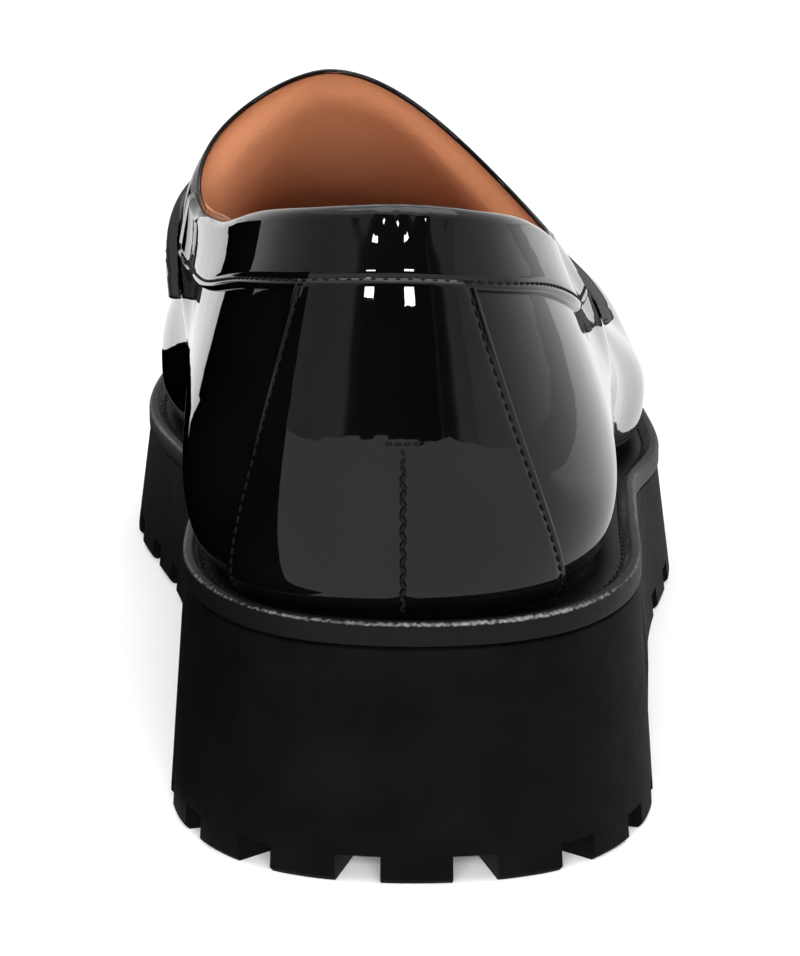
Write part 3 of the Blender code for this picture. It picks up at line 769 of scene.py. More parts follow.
skin_mesh = mesh_of("upper_skin", [half_skin(side) for side in (OUTER, INNER)])
skin = add_piece("upper_skin", skin_mesh, ["upper"])
wall(skin, SKIN_THICKNESS)
skin.data.materials.append(PATENT)
lining_mesh = mesh_of("lining", [half_lining(side) for side in (OUTER, INNER)])
lining = add_piece("lining", lining_mesh)
wall(lining, LINING_THICKNESS)
bake(lining)
lining.data.set_sharp_from_angle(angle=LIP_ANGLE)
lining.data.materials.append(LINING)
report(skin)
report(lining)

# %% [markdown]
# ## Tongue edge
# The tongue's edge is turned over, which leaves a thin black line round the tan lining. A curve
# with a round bevel could draw it, but its section could twist at the corners. So a flat,
# round-nosed section is swept along the edge of the opening, and stands on the edge's own normal
# and on the direction into the leather.

# %% Sweep the turned edge round the tongue
EDGE_START = 83.0
EDGE_REACH = 0.5
EDGE_PROUD = 0.1
EDGE_ROUND = 0.3
TONGUE_EDGE = 0.6
INTO_THE_VAMP = (0.0, 0.7, -0.7)


def turned_edge():
    """Rings of the turned edge, from under one end of the collar band over the tongue's tip to the other."""
    lines = []
    for side in (OUTER, INNER):
        r, t = topline_addresses(EDGE_START)
        half = last(side, r, t), last_normal(side, r, t)
        lines.append(half if side == OUTER else (half[0][-2::-1], half[1][-2::-1]))
    points = np.concatenate([lines[0][0], lines[1][0]])
    normals = np.concatenate([lines[0][1], lines[1][1]])
    along = unit(np.gradient(points, axis=0))
    inwards = np.cross(normals, along)
    inwards *= np.sign(inwards @ np.array(INTO_THE_VAMP))[:, None]
    radius = TONGUE_EDGE / 2 + EDGE_PROUD
    nose = np.linspace(math.pi / 2, 3 * math.pi / 2, 11)
    back = np.linspace(-math.pi / 2, math.pi / 2, 5)
    s = np.concatenate([EDGE_ROUND + radius * np.cos(nose), EDGE_REACH + EDGE_ROUND * np.cos(back)])
    h = np.concatenate([radius * np.sin(nose), radius * np.sin(back)]) - TONGUE_EDGE / 2
    rings = points[:, None] + inwards[:, None] * s[None, :, None] + normals[:, None] * h[None, :, None]
    return np.concatenate([rings, rings[:, :1]], axis=1)


tongue_edge = add_piece("tongue_edge", mesh_of("tongue_edge", [turned_edge()], close=True))
tongue_edge.data.materials.append(PATENT)
report(tongue_edge)

# %% [markdown]
# ## A cut through the collar band
# A folded band runs round the quarters from strap to strap. Its lower edge is a fold with a row of
# stitches just above it, and its top rolls over the edge of the shoe and ends inside. One cut
# through it is drawn as distances down from the topline and heights over the last. A flat strip
# with a bevel would miss the roll at its top.

# %% The band's section with its fold, stitch channel and roll
COLLAR_BAND_DEPTH = 12.0
PANEL_HEIGHT = 1.5
FOLD_RADIUS = 0.9
ROLL_INSIDE = 4.6
ROLL_CORNER = 0.4
BAND_SUNK = 0.6
BAND_HEM = 0.8
BAND_FLARE = 0.25
FLARE_START = 4.5
STITCH_INSET = 1.4
CHANNEL_DEPTH = 0.24
CHANNEL_WIDTH = 0.45


def rounded(distance, radius, power=2.0):
    """The height of a rounded edge, from 0 at the edge to 1 a radius further in; more power is squarer."""
    short = 1 - np.clip(np.asarray(distance) / radius, 0, 1)
    return (1 - short**power) ** (1 / power)


def channel(distance):
    """The shallow trough that a row of stitches pulls into the leather, a set way in from an edge."""
    return CHANNEL_DEPTH * np.exp(-(((distance - STITCH_INSET) / CHANNEL_WIDTH) ** 2))


def band_section(depth, crown, inside):
    """One cut through the band: distances down from the topline, and heights over the last."""
    share = crown / PANEL_HEIGHT
    top = crown + share * BAND_FLARE
    turn = (top - inside) / 2
    face = np.linspace(0, math.pi, 40)
    down = turn + (depth - turn) * (1 + np.cos(face)) / 2
    up = depth - down
    flare = np.clip((up - FLARE_START) / (depth - turn - FLARE_START), 0, 1) ** 2
    height = crown * rounded(up, FOLD_RADIUS) + share * (BAND_FLARE * flare - channel(up))
    roll = np.linspace(0, math.pi, 17)[1:]
    over_s, over_h = turn - turn * np.sin(roll), top - turn + turn * np.cos(roll)
    back_s = (ROLL_INSIDE - ROLL_CORNER, ROLL_INSIDE, ROLL_INSIDE, depth - BAND_HEM)
    back_h = (inside, inside + ROLL_CORNER, -BAND_SUNK, -BAND_SUNK)
    return np.concatenate([down, over_s, back_s]), np.concatenate([height, over_h, back_h])


section_points = len(band_section(COLLAR_BAND_DEPTH, PANEL_HEIGHT, -WALL_THICKNESS)[0])
print("Points in the band's section:", section_points)

# %% [markdown]
# ## Collar band
# The cut is swept along the topline, rib by rib. Towards the strap the band gets narrower and
# thinner, because it is skived to lie flat there, and at the back of the heel the leather gathers
# in a few soft creases. The creases could be painted as bump, but as geometry they bend the
# reflections the way the real ones do.

# %% Sweep the collar band
BAND_END = 96.5
COLLAR_BAND_NARROWING = {OUTER: 1.7, INNER: 1.5}
ROLL_PROUD = 0.15
SKIVED_END = (48.0, 95.0)
SKIVED_HEIGHT = {OUTER: 0.3, INNER: 1.4}
BAND_RINGS, BAND_CROWDING = 110, 1.3
COLLAR_CREASES = (
    (-6.5, 0.16, 1.6, 5.0),
    (-2.2, 0.30, 1.0, 4.0),
    (1.4, 0.36, 0.9, 3.4),
    (4.6, 0.20, 1.3, 5.5),
)


def t_band(side, r, extra=0.0):
    """The lower edge of the collar band, a set depth under the shoulder that shrinks towards the strap."""
    top = last(side, np.minimum(r, R_CORNER), RIB_KNOTS[2])[..., 2]
    depth = COLLAR_BAND_DEPTH - COLLAR_BAND_NARROWING[side] * (np.asarray(r) / R_CORNER) ** 2
    return t_at_height(side, r, top - depth - extra)


def creases(points, s):
    """Soft troughs where the leather gathers at the top of the heel."""
    trough = np.zeros(len(s))
    for across, depth, width, reach in COLLAR_CREASES:
        trough += depth * np.exp(-(((points[:, 0] - across) / width) ** 2) - (s / reach) ** 2)
    return trough


def thinned(full, thin, y):
    """A size of the band that shrinks towards the strap, where the leather is skived to lie flat."""
    return full + (thin - full) * smooth_step(*SKIVED_END, y)


def down_the_rib(side, r, s):
    """The addresses t that lie s millimetres down from the topline along one rib."""
    t = np.linspace(float(t_topline(r)), 0.0, 240)
    length = np.concatenate([[0], np.cumsum(np.linalg.norm(np.diff(last(side, r, t), axis=0), axis=1))])
    return np.interp(s, length, t)


def band_ring(side, r):
    """The band's section on one rib, as a closed ring of points."""
    t = np.linspace(float(t_topline(r)), float(t_band(side, r)[0]), 60)
    rib = last(side, r, t)
    depth = np.linalg.norm(np.diff(rib, axis=0), axis=1).sum()
    crown = thinned(PANEL_HEIGHT, SKIVED_HEIGHT[side], rib[0, 1])
    inside = lining_depth(side, r, t[0]) - LINING_THICKNESS - ROLL_PROUD
    s, h = band_section(depth, crown, float(inside))
    t = down_the_rib(side, r, s)
    ring = off_last(side, r, t, h - creases(last(side, r, t), s) * (h > 0))
    return np.concatenate([ring, ring[:1]])


BAND_STATIONS = float(r_at(BAND_END)) * np.linspace(0, 1, BAND_RINGS) ** BAND_CROWDING
inner_rings = [band_ring(INNER, r) for r in BAND_STATIONS[:0:-1]]
outer_rings = [band_ring(OUTER, r) for r in BAND_STATIONS]
collar_mesh = mesh_of("collar", [np.array(inner_rings + outer_rings)], close=True)
collar = add_piece("collar", collar_mesh, ["collar_band"])
collar.data.materials.append(PATENT)
report(collar)

# %% [markdown]
# ## Panels with folded edges
# The counter, the apron and the strap are patches on the last. Solidify and Bevel modifiers would
# round all their edges alike. The helper instead measures how far every point is from the edges
# that are folded, and lifts it on a quarter round, so such an edge looks turned under, with a
# channel for its stitches.

# %% A helper for panels on the upper
END_CROWDING = 1.7
PANEL_WALL = 0.7


def panel(name, halves, edges, height, stitched=(), stands_for=(), relief=None, square=2.0):
    """A folded-edge panel: patches of (side, r, t), with edges and stitched edges as lines on the last."""
    grids = []
    for side, r, t in halves:
        flat = last(side, r, t)
        gap = np.min([distance_to(flat, line) for line in edges], axis=0)
        lift = height * rounded(gap, FOLD_RADIUS, square)
        for line in stitched:
            lift = lift - channel(distance_to(flat, line)) * rounded(gap, FOLD_RADIUS)
        if relief:
            lift = lift - relief(flat)
        grids.append(off_last(side, r, t, lift))
    made = add_piece(name, mesh_of(name, grids), stands_for)
    wall(made, PANEL_WALL)
    made.data.materials.append(PATENT)
    report(made)
    return made


def crowded(count):
    """Fractions from 0 to 1 that crowd at both ends, where the folds are."""
    return (1 - np.cos(np.linspace(0, math.pi, count))) / 2


def crowded_at_end(count):
    """Fractions from 0 to 1 that crowd at 1."""
    return 1 - (1 - np.linspace(0, 1, count)) ** END_CROWDING


print("Panels have a wall of", PANEL_WALL, "mm")

# %% [markdown]
# ## Heel counter
# The back panel is a trapezoid between the collar band and the welt. Its middle has a short dart, a
# seam that takes in the leather round the heel, with a bar of stitches across its top. The dart
# could be a bump in the material, but a real trough is part of the mesh itself.

# %% Heel counter and its dart
COUNTER_TOP = {OUTER: 6.3, INNER: 9.5}
COUNTER_FOOT = {OUTER: 15.6, INNER: 17.5}
DART_TOP = 66.0
DART_DEPTH = 0.7
DART_WIDTH = 0.8
DART_X = -0.4
DART_FADE = 7.0
COUNTER_SUNK = 0.6
COUNTER_UNDERLAP = 1.5
COUNTER_COLUMNS, COUNTER_ROWS = 46, 60


def counter_addresses(side, wide, up):
    """Addresses on one half of the counter, by fractions out from the middle and up from the welt."""
    foot_r, top_r = float(r_at(COUNTER_FOOT[side])), float(r_at(COUNTER_TOP[side]))
    wide, up = np.broadcast_arrays(wide, up)
    r = wide * (foot_r + (top_r - foot_r) * up)
    foot = t_at_height(side, r.ravel(), HEEL_HEIGHT + WELT_THICKNESS - COUNTER_SUNK).reshape(r.shape)
    head = t_band(side, r.ravel(), extra=-COUNTER_UNDERLAP).reshape(r.shape)
    return r, foot + (head - foot) * up


def dart(points):
    """The trough of the dart down the middle of the heel."""
    across = np.exp(-(((points[..., 0] - DART_X) / DART_WIDTH) ** 2))
    below = smooth_step(DART_TOP, DART_TOP - DART_FADE, points[..., 2])
    return DART_DEPTH * across * below


counter_wide = crowded_at_end(COUNTER_COLUMNS)
counter_up = np.linspace(0, 1, COUNTER_ROWS)
counter_edges = [last(side, *counter_addresses(side, 1.0, counter_up)) for side in (OUTER, INNER)]
counter_halves = [
    (side, *counter_addresses(side, counter_wide[:, None], counter_up)) for side in (OUTER, INNER)
]
panel("counter", counter_halves, counter_edges, PANEL_HEIGHT, counter_edges, ["heel_counter"], relief=dart)

# %% [markdown]
# ## Apron
# On top of the vamp lies the apron, the panel that gives a loafer its moccasin look. A rounded bead
# hides where it meets the vamp, and long stitches cross the bead. The bead could be a bevelled
# curve, but a tube laid on the seam's own points and normals stays seated all the way round the
# toe.

# %% Apron panel and its bead
APRON_SEAM = 0.74
STRAP_SWEEP = 1.5
STRAP_FRONT = (151.0, 139.0)
STRAP_END_HEIGHT = {OUTER: 62.0, INNER: 66.5}
APRON_UNDERLAP = 2.0
APRON_COLUMNS, APRON_ROWS, APRON_CROWDING = 80, 36, 1.5
BEAD_RADIUS = 1.5
BEAD_LIFT = 0.5


def strap_edge(edge, down):
    """A long edge of the strap: its y at the ridge, and further down, where down is 1 at the strap's end."""
    centre, end = edge
    return centre + (end - centre) * down**STRAP_SWEEP


def apron_addresses(side, forward, up):
    """Addresses on one half of the apron, by fractions forward from under the strap and up from the seam."""
    t = APRON_SEAM + (1 - APRON_SEAM) * up
    strap_end = float(t_at_height(side, r_at(STRAP_FRONT[1]), STRAP_END_HEIGHT[side])[0])
    down = np.clip((1 - t) / (1 - strap_end), 0, 1)
    start = r_at(strap_edge(STRAP_FRONT, down) - APRON_UNDERLAP)
    r = start + (1 - start) * forward
    return r, np.broadcast_to(t, r.shape)


def bead_line():
    """The apron's seam from strap to strap, as points and normals."""
    forward = np.linspace(0, 1, 150)
    parts = []
    for side in (OUTER, INNER):
        r, t = apron_addresses(side, forward, 0.0)
        order = slice(None) if side == OUTER else slice(-2, None, -1)
        parts.append((last(side, r, t)[order], last_normal(side, r, t)[order]))
    return np.concatenate([p[0] for p in parts]), np.concatenate([p[1] for p in parts])


def tube(points, normals, radius, sides=12):
    """Rings of a round bead along a line."""
    across = np.cross(unit(np.gradient(points, axis=0)), normals)
    turn = np.linspace(0, 2 * math.pi, sides + 1)[None, :, None]
    return points[:, None] + radius * (across[:, None] * np.cos(turn) + normals[:, None] * np.sin(turn))


forward = np.linspace(0, 1, APRON_COLUMNS)
up = np.linspace(0, 1, APRON_ROWS) ** APRON_CROWDING
apron_halves = [(side, *apron_addresses(side, forward[:, None], up[None, :])) for side in (OUTER, INNER)]
bead_points, bead_normals = bead_line()
panel("apron_panel", apron_halves, [bead_points], PANEL_HEIGHT, [], ["apron"])
bead_rings = tube(bead_points + bead_normals * BEAD_LIFT, bead_normals, BEAD_RADIUS)
bead = add_piece("apron_bead", mesh_of("apron_bead", [bead_rings], close=True))
bead.data.materials.append(PATENT)
report(bead)

# %% [markdown]
# ## Saddle strap
# The strap crosses the instep and ends in rounded tips just below the collar band. It is a thicker
# panel, folded on all four edges, with a row of stitches along both long ones. A flat band could be
# shrink-wrapped onto the shoe, but on the last's addresses its edges stay clean where it bends
# most.

# %% Saddle strap
STRAP_BACK = (127.0, 98.0)
STRAP_CORNER = 1.2
STRAP_TIP_POWER = 7
STRAP_HEIGHT = 2.2
STRAP_SQUARE = 3.0
STRAP_SEAM = 0.92
STRAP_ROWS, STRAP_COLUMNS = 70, 56


def strap_addresses(side, down, across):
    """Addresses on one half of the strap, by fractions down from the ridge and across from its back edge."""
    down, across = np.broadcast_arrays(down, across)
    back, front = strap_edge(STRAP_BACK, down), strap_edge(STRAP_FRONT, down)
    r = r_at(back + (front - back) * across)
    ends = r_at(STRAP_BACK[1] + (STRAP_FRONT[1] - STRAP_BACK[1]) * across)
    tip = STRAP_END_HEIGHT[side] + STRAP_CORNER * np.abs(2 * across - 1) ** STRAP_TIP_POWER
    end = t_at_height(side, ends.ravel(), tip.ravel()).reshape(r.shape)
    return r, 1 - down * (1 - end)


strap_down = crowded_at_end(STRAP_ROWS)
strap_across = crowded(STRAP_COLUMNS)


def strap_lines(reach):
    """The strap's long edges, from the ridge down to a share of its length."""
    down = np.linspace(0, reach, 90)
    return [last(side, *strap_addresses(side, down, edge)) for side in (OUTER, INNER) for edge in (0.0, 1.0)]


strap_ends = [last(side, *strap_addresses(side, 1.0, np.linspace(0, 1, 60))) for side in (OUTER, INNER)]
strap_halves = [
    (side, *strap_addresses(side, strap_down[:, None], strap_across[None, :])) for side in (OUTER, INNER)
]
strap = panel(
    "strap",
    strap_halves,
    strap_lines(1.0) + strap_ends,
    STRAP_HEIGHT,
    strap_lines(STRAP_SEAM),
    ["saddle_strap"],
    square=STRAP_SQUARE,
)

# %% [markdown]
# ## Slot
# The classic slot is cut through the middle of the strap, pointed at both ends. A Boolean with an
# upright prism cuts it clean through the folded panel; a hole left in the grid would have steps
# along its edge.

# %% Cut the slot
SLOT_CENTRE = (-12.0, 139.0)
SLOT_SIZE = (32.0, 5.0)
SLOT_POINT = 0.4
SLOT_CUT = (60.0, 120.0)
SLOT_EDGE_ANGLE = math.radians(50)


def slot_cutter():
    """An upright lens-shaped prism through the middle of the strap."""
    turn = np.linspace(0, 2 * math.pi, 49)
    x = SLOT_CENTRE[0] + SLOT_SIZE[0] / 2 * np.cos(turn)
    y = SLOT_CENTRE[1] + SLOT_SIZE[1] / 2 * np.sin(turn) * np.abs(np.sin(turn)) ** SLOT_POINT
    prism = np.array([np.stack([x, y, np.full_like(x, z)], axis=1) for z in SLOT_CUT])
    made = bpy.data.objects.new("slot_cutter", mesh_of("slot_cutter", [prism], close=True))
    bpy.context.scene.collection.objects.link(made)
    return made


def cut(obj, cutter):
    """Takes a cutter away from an object, for good, and removes the cutter."""
    cutter.hide_render = True
    made = obj.modifiers.new("cut", "BOOLEAN")
    made.operation = "DIFFERENCE"
    made.object = cutter
    made.solver = "EXACT"
    bpy.context.view_layer.update()
    bake(obj)
    bpy.data.objects.remove(cutter, do_unlink=True)


cut(strap, slot_cutter())
strap.data.shade_smooth()
strap.data.set_sharp_from_angle(angle=SLOT_EDGE_ANGLE)
report(strap)

# %% [markdown]
# ## Welt
# The welt is a strip stitched to the upper and to the sole. Its rim is milled with a wheel, which
# leaves fine notches that catch the light, and the rim is a little paler: partly wear, partly a
# painted highlight where it slopes up to the light. A bump could fake the notches, but here the
# section is swept round the sole's outline, dense enough for them to be real geometry. An attribute
# on the mesh says where the rim is worn and where the painted highlight falls.

# %% Welt strip with its milled rim
NOTCH_PITCH = 1.3
NOTCH_DEPTH = 0.12
WELT_STEP = 3
WELT_UNDERLAP = 0.5
WELT_DROP = 0.4
LIT_WORN_SLOPE, LIT_WORN_SPREAD = 0.72, 0.27
WELT_LIP = 0.8
WELT_SECTION = (
    (1.2, SEAT_GAP, 0.0),
    (0.25, SEAT_GAP, 0.0),
    (0.05, SEAT_GAP + 0.15, 0.0),
    (0.0, SEAT_GAP + 0.4, 0.0),
    (0.0, WELT_THICKNESS + WELT_LIP - 0.9, 0.0),
    (0.08, WELT_THICKNESS + WELT_LIP - 0.65, 0.2),
    (0.3, WELT_THICKNESS + WELT_LIP - 0.4, 1.0),
    (0.65, WELT_THICKNESS + WELT_LIP - 0.16, 1.0),
    (1.05, WELT_THICKNESS + WELT_LIP - 0.03, 0.8),
    (1.45, WELT_THICKNESS + WELT_LIP, 0.2),
    (1.9, WELT_THICKNESS + WELT_LIP - 0.25, 0.0),
    (2.5, WELT_THICKNESS - 0.2, 0.0),
    (3.2, WELT_THICKNESS - 0.35, 0.0),
)


def welt_rings():
    """The welt's section at every station round the sole, with its inner edge under the upper."""
    stations = slice(None, None, WELT_STEP)
    loop = SOLE_LOOP[stations]
    along = np.concatenate([[0], np.cumsum(np.linalg.norm(np.diff(loop, axis=0), axis=1))])
    notches = round(along[-1] / NOTCH_PITCH)
    wave = 0.5 - 0.5 * np.cos(2 * math.pi * notches * along / along[-1])
    under = upper_loop(tuck(SOLE_LOOP[:, 1]) + FEATHER_TUCK + WELT_UNDERLAP)[stations]
    rings = []
    for inset, height, milled in WELT_SECTION:
        plan = inset_loop(np.full(len(SOLE_LOOP), inset))[stations]
        z = sole_top(plan[:, 1]) + height - NOTCH_DEPTH * milled * wave
        rings.append(np.concatenate([plan, z[:, None]], axis=1))
    for height in (WELT_THICKNESS - WELT_DROP, SEAT_GAP):
        rings.append(np.concatenate([under, (sole_top(under[:, 1]) + height)[:, None]], axis=1))
    rings.append(rings[0])
    grid = np.stack(rings, axis=1)
    return np.concatenate([grid, grid[:1]])


def mark_wear_and_highlight(mesh):
    """Writes how worn each point is and where the painted highlight falls: most on the rim that slopes up to
    the light, little on the side and the top.
    """
    slope = np.array([vert.normal.z for vert in mesh.vertices])
    # Paler where the rim slopes up to the light: part wear, part painted highlight.
    worn_and_lit = np.clip(1 - ((slope - LIT_WORN_SLOPE) / LIT_WORN_SPREAD) ** 2, 0, 1)
    mesh.attributes.new("wear_and_highlight", "FLOAT", "POINT").data.foreach_set("value", worn_and_lit)


welt_mesh = mesh_of("welt_strip", [welt_rings()])
mark_wear_and_highlight(welt_mesh)
welt = add_piece("welt_strip", welt_mesh, ["welt"])
report(welt)

# %% [markdown]
# ## Welt finish
# The welt is a dark, half-matt strip. The wear-and-highlight attribute mixes in a paler, drier tone at
# the rim, part wear and part painted highlight, broken up by a fine grain into painted sparkles.

# %% Welt finish
WELT_DARK = (0.0035, 0.0035, 0.004)
WELT_WORN_AND_LIT = (0.16, 0.16, 0.16)


def product(tree, first, second):
    """Two factors multiplied."""
    made = tree.nodes.new("ShaderNodeMath")
    made.operation = "MULTIPLY"
    tree.links.new(first, made.inputs[0])
    tree.links.new(second, made.inputs[1])
    return made.outputs["Value"]


def welt_finish():
    """A dark strip whose rim shows paler specks, part wear and part painted highlight, more in some
    stretches than in others.
    """
    made, tree, shader = new_material("welt_finish", 0.45, WELT_DARK)
    worn_and_lit = tree.nodes.new("ShaderNodeAttribute")
    worn_and_lit.attribute_name = "wear_and_highlight"
    grain = noise(tree, 1500.0, 3.0)
    stretches = span(tree, noise(tree, 28.0, 1.0), 0.2, 1.8)
    # The pale specks are part wear and part painted highlight and sparkle.
    worn_and_lit_specks = product(tree, product(tree, worn_and_lit.outputs["Fac"], grain), stretches)
    tone = blend_colours(tree, worn_and_lit_specks, ((0.3, WELT_DARK), (0.75, WELT_WORN_AND_LIT)))
    tree.links.new(tone, shader.inputs["Base Color"])
    vary_roughness(tree, shader, 700.0, 0.4, 0.6)
    shader.inputs["Specular IOR Level"].default_value = 0.12
    add_bump(tree, shader, grain, 0.05)
    return made


welt.data.materials.append(welt_finish())
print("Finish:", welt.data.materials[0].name)

# %% [markdown]
# ## Lug sole
# The sole is one moulding with a flared side, a raised arch in front of the square heel breast, and
# a toe that springs off the floor. A box could be sculpted to that, but here a block is lofted
# between four outlines, two at the tread and two at the top, so its edge follows the same plan as
# the welt.

# %% Sole block
HEEL_BREAST = 78.0
FOREFOOT_TREAD = 124.0
ARCH_RISE = 11.0
ARCH_KEYS = (HEEL_BREAST, HEEL_BREAST + 3, HEEL_BREAST + 14, FOREFOOT_TREAD)
ARCH_SHARES = (0, 0.8, 1, 0)
TOE_SPRING = 9.0
TOE_SPRING_START = 192.0
TREAD_EDGE = 0.7
RIM_SIDE, RIM_TOP, RIM_DROP = 0.25, 0.7, 0.3
RUNGS = 181
RUNG_SPACE = 0.002


def tread_height(y):
    """The underside along the shoe: heel, breast, arch, forefoot tread and toe spring."""
    y = np.asarray(y, float)
    arch = np.interp(y, ARCH_KEYS, ARCH_SHARES)
    spring = np.clip((y - TOE_SPRING_START) / (SOLE_LENGTH - TOE_SPRING_START), 0, 1.1) ** 2
    return ARCH_RISE * arch + TOE_SPRING * spring


def sole_ribs():
    """Fractions along the sole for its rungs, exact at the heel breast and the arch."""
    low, high = -SOLE_FLARE, SOLE_LENGTH + SOLE_FLARE
    even = np.linspace(0, 1, RUNGS)
    keys = (*ARCH_KEYS, TOE_SPRING_START)
    exact = np.arccos(1 - 2 * (np.array(keys) - low) / (high - low)) / math.pi
    apart = np.abs(even[:, None] - exact[None, :]).min(axis=1) > RUNG_SPACE
    return np.sort(np.concatenate([even[apart], exact]))


def sole_rails(inset, height):
    """The outer and inner rails of a level of the sole, at a height given for each y."""
    edge = rails(inset_loop(np.full(len(SOLE_LOOP), float(inset))))
    pair = []
    for side in (OUTER, INNER):
        plan = edge[side](sole_ribs())
        pair.append(np.concatenate([plan, height(plan[:, 1])[:, None]], axis=1))
    return pair


def sole_block():
    """Grids of the uncut sole: tread, chamfer, flared side and top."""
    levels = (
        sole_rails(TREAD_EDGE - SOLE_FLARE, tread_height),
        sole_rails(-SOLE_FLARE, lambda y: tread_height(y) + TREAD_EDGE),
        sole_rails(RIM_SIDE, lambda y: sole_top(y) - RIM_DROP),
        sole_rails(RIM_TOP, sole_top),
    )
    sides = [np.stack([level[k] for level in levels]) for k in (0, 1)]
    caps = [np.stack(levels[0]), np.stack(levels[-1])]
    return sides + caps


sole = add_piece("sole", mesh_of("sole", sole_block()), ["lug_sole"])
report(sole)

# %% [markdown]
# ## Lugs
# The tread has lugs round its edge. Cutting the grooves between them is easier than adding each
# lug: a Boolean takes away a row of boxes that stand square to the edge and get narrower inwards.

# %% Cut the grooves between the lugs
LUG_PITCH = 17.8
NO_LUGS = (HEEL_BREAST - 8, FOREFOOT_TREAD + 6)
GROOVE_WIDTH = 7.2
GROOVE_TAPER = 0.85
GROOVE_DEPTH = 4.2
GROOVE_LENGTH = 13.0
GROOVE_PAST_EDGE = 4.0
BELOW_FLOOR = -6.0


def box(corner_of):
    """The six faces of a box as grids, from a function of its three half-unit coordinates."""
    ends = (-0.5, 0.5)
    corners = np.array([[[corner_of(a, b, c) for c in ends] for b in ends] for a in ends])
    return [*corners, *corners.transpose(1, 0, 2, 3), *corners.transpose(2, 0, 1, 3)]


def edge_grooves():
    """A box for each groove between the lugs, square to the sole's edge, at an even pitch from the back."""
    step = np.linalg.norm(np.roll(flared, -1, axis=0) - flared, axis=1)
    along = np.concatenate([[0], np.cumsum(step)[:-1]])
    count = 2 * round(step.sum() / LUG_PITCH / 2)
    boxes = []
    for i in range(count):
        k = min(np.searchsorted(along, (i + 0.5) * step.sum() / count), len(flared) - 1)
        point, out, floor = flared[k], SOLE_NORMALS[k], float(tread_height(flared[k, 1]))
        if NO_LUGS[0] < point[1] < NO_LUGS[1]:
            continue
        aside = np.array((-out[1], out[0]))

        def corner(across, reach, up):
            width = GROOVE_WIDTH if reach > 0 else GROOVE_WIDTH * GROOVE_TAPER
            plan = point + aside * across * width + out * (GROOVE_PAST_EDGE if reach > 0 else -GROOVE_LENGTH)
            return (*plan, floor + GROOVE_DEPTH if up > 0 else BELOW_FLOOR)

        boxes += box(corner)
    return boxes


def cutter_from(name, boxes):
    """A hidden cutter from separate boxes, each closed and turned outwards."""
    made = bpy.data.objects.new(name, mesh_of(name, boxes))
    bpy.context.scene.collection.objects.link(made)
    return made


cut(sole, cutter_from("edge_grooves", edge_grooves()))
report(sole)

# %% [markdown]
# ## Bars across the tread
# Straight grooves cross the middle of the heel and the forefoot, and leave a band along the edge
# for the lugs. The same Boolean cuts them. A small bevel then takes the sharp edges off, as a mould
# does. The cutters could be rounded instead, but then every one of them would need many more faces.

# %% Cut the bars and round the edges
BAR_GROOVES = (24.0, 50.0, 142.0, 160.0, 180.0, 200.0, 220.0, 238.0)
BAR_GROOVE_WIDTH = 6.0
BAR_GROOVE_DEPTH = 3.2
EDGE_BAND = 19.0
LUG_BEVEL = 0.45
LUG_ANGLE = math.radians(35)


def bar_grooves():
    """A box for each straight groove across the middle of the heel and the forefoot."""
    edge = rails(SOLE_LOOP)
    boxes = []
    for y in BAR_GROOVES:
        r = math.acos(1 - 2 * y / SOLE_LENGTH) / math.pi
        high, low = edge[OUTER](r)[0] - EDGE_BAND, edge[INNER](r)[0] + EDGE_BAND
        roof = float(tread_height(y)) + BAR_GROOVE_DEPTH

        def corner(across, along, up):
            x = (low + high) / 2 + across * (high - low)
            return (x, y + along * BAR_GROOVE_WIDTH, roof if up > 0 else BELOW_FLOOR)

        boxes += box(corner)
    return boxes


cut(sole, cutter_from("bar_grooves", bar_grooves()))
bevel = sole.modifiers.new("lug_edges", "BEVEL")
bevel.width = LUG_BEVEL * MM
bevel.segments = 2
bevel.limit_method = "ANGLE"
bevel.angle_limit = LUG_ANGLE
sole.data.shade_smooth()
sole.data.set_sharp_from_angle(angle=LUG_ANGLE)
report(sole)

# %% [markdown]
# ## Rubber finish
# Moulded rubber is matt and near black. The fine grain of the mould shows as a soft, even bump, and
# the roughness wanders a little. A flat black would look like a hole in the picture.

# %% Rubber finish
RUBBER = (0.0012, 0.0012, 0.0014)
RUBBER_DRY = (0.0024, 0.0024, 0.0027)


def sole_rubber():
    """Matt black rubber with a fine grain."""
    made, tree, shader = new_material("sole_rubber", 0.7, RUBBER)
    tone = blend_colours(tree, noise(tree, 90.0, 5.0), ((0.35, RUBBER), (0.7, RUBBER_DRY)))
    tree.links.new(tone, shader.inputs["Base Color"])
    vary_roughness(tree, shader, 260.0, 0.6, 0.8)
    shader.inputs["Specular IOR Level"].default_value = 0.08
    add_bump(tree, shader, noise(tree, 1600.0, 2.0), 0.06)
    return made


sole.data.materials.clear()
sole.data.materials.append(sole_rubber())
print("Finish:", sole.data.materials[0].name)

# %% [markdown]
# ## Insole
# Inside, a thin sock of the lining leather covers the floor. A flat plate could stand for it, but
# the floor falls from the heel to the ball of the foot. So the sock is a grid of rungs between its
# two edges, cupped a little under the heel and rounded where it meets the wall.

# %% Insole sock
INSOLE_THICKNESS = 3.0
HEEL_CUP = 1.6
CUP_FADE = (120.0, 40.0)
SOCK_ROUND = 1.5
SOCK_RUNGS, SOCK_COLUMNS = 110, 26


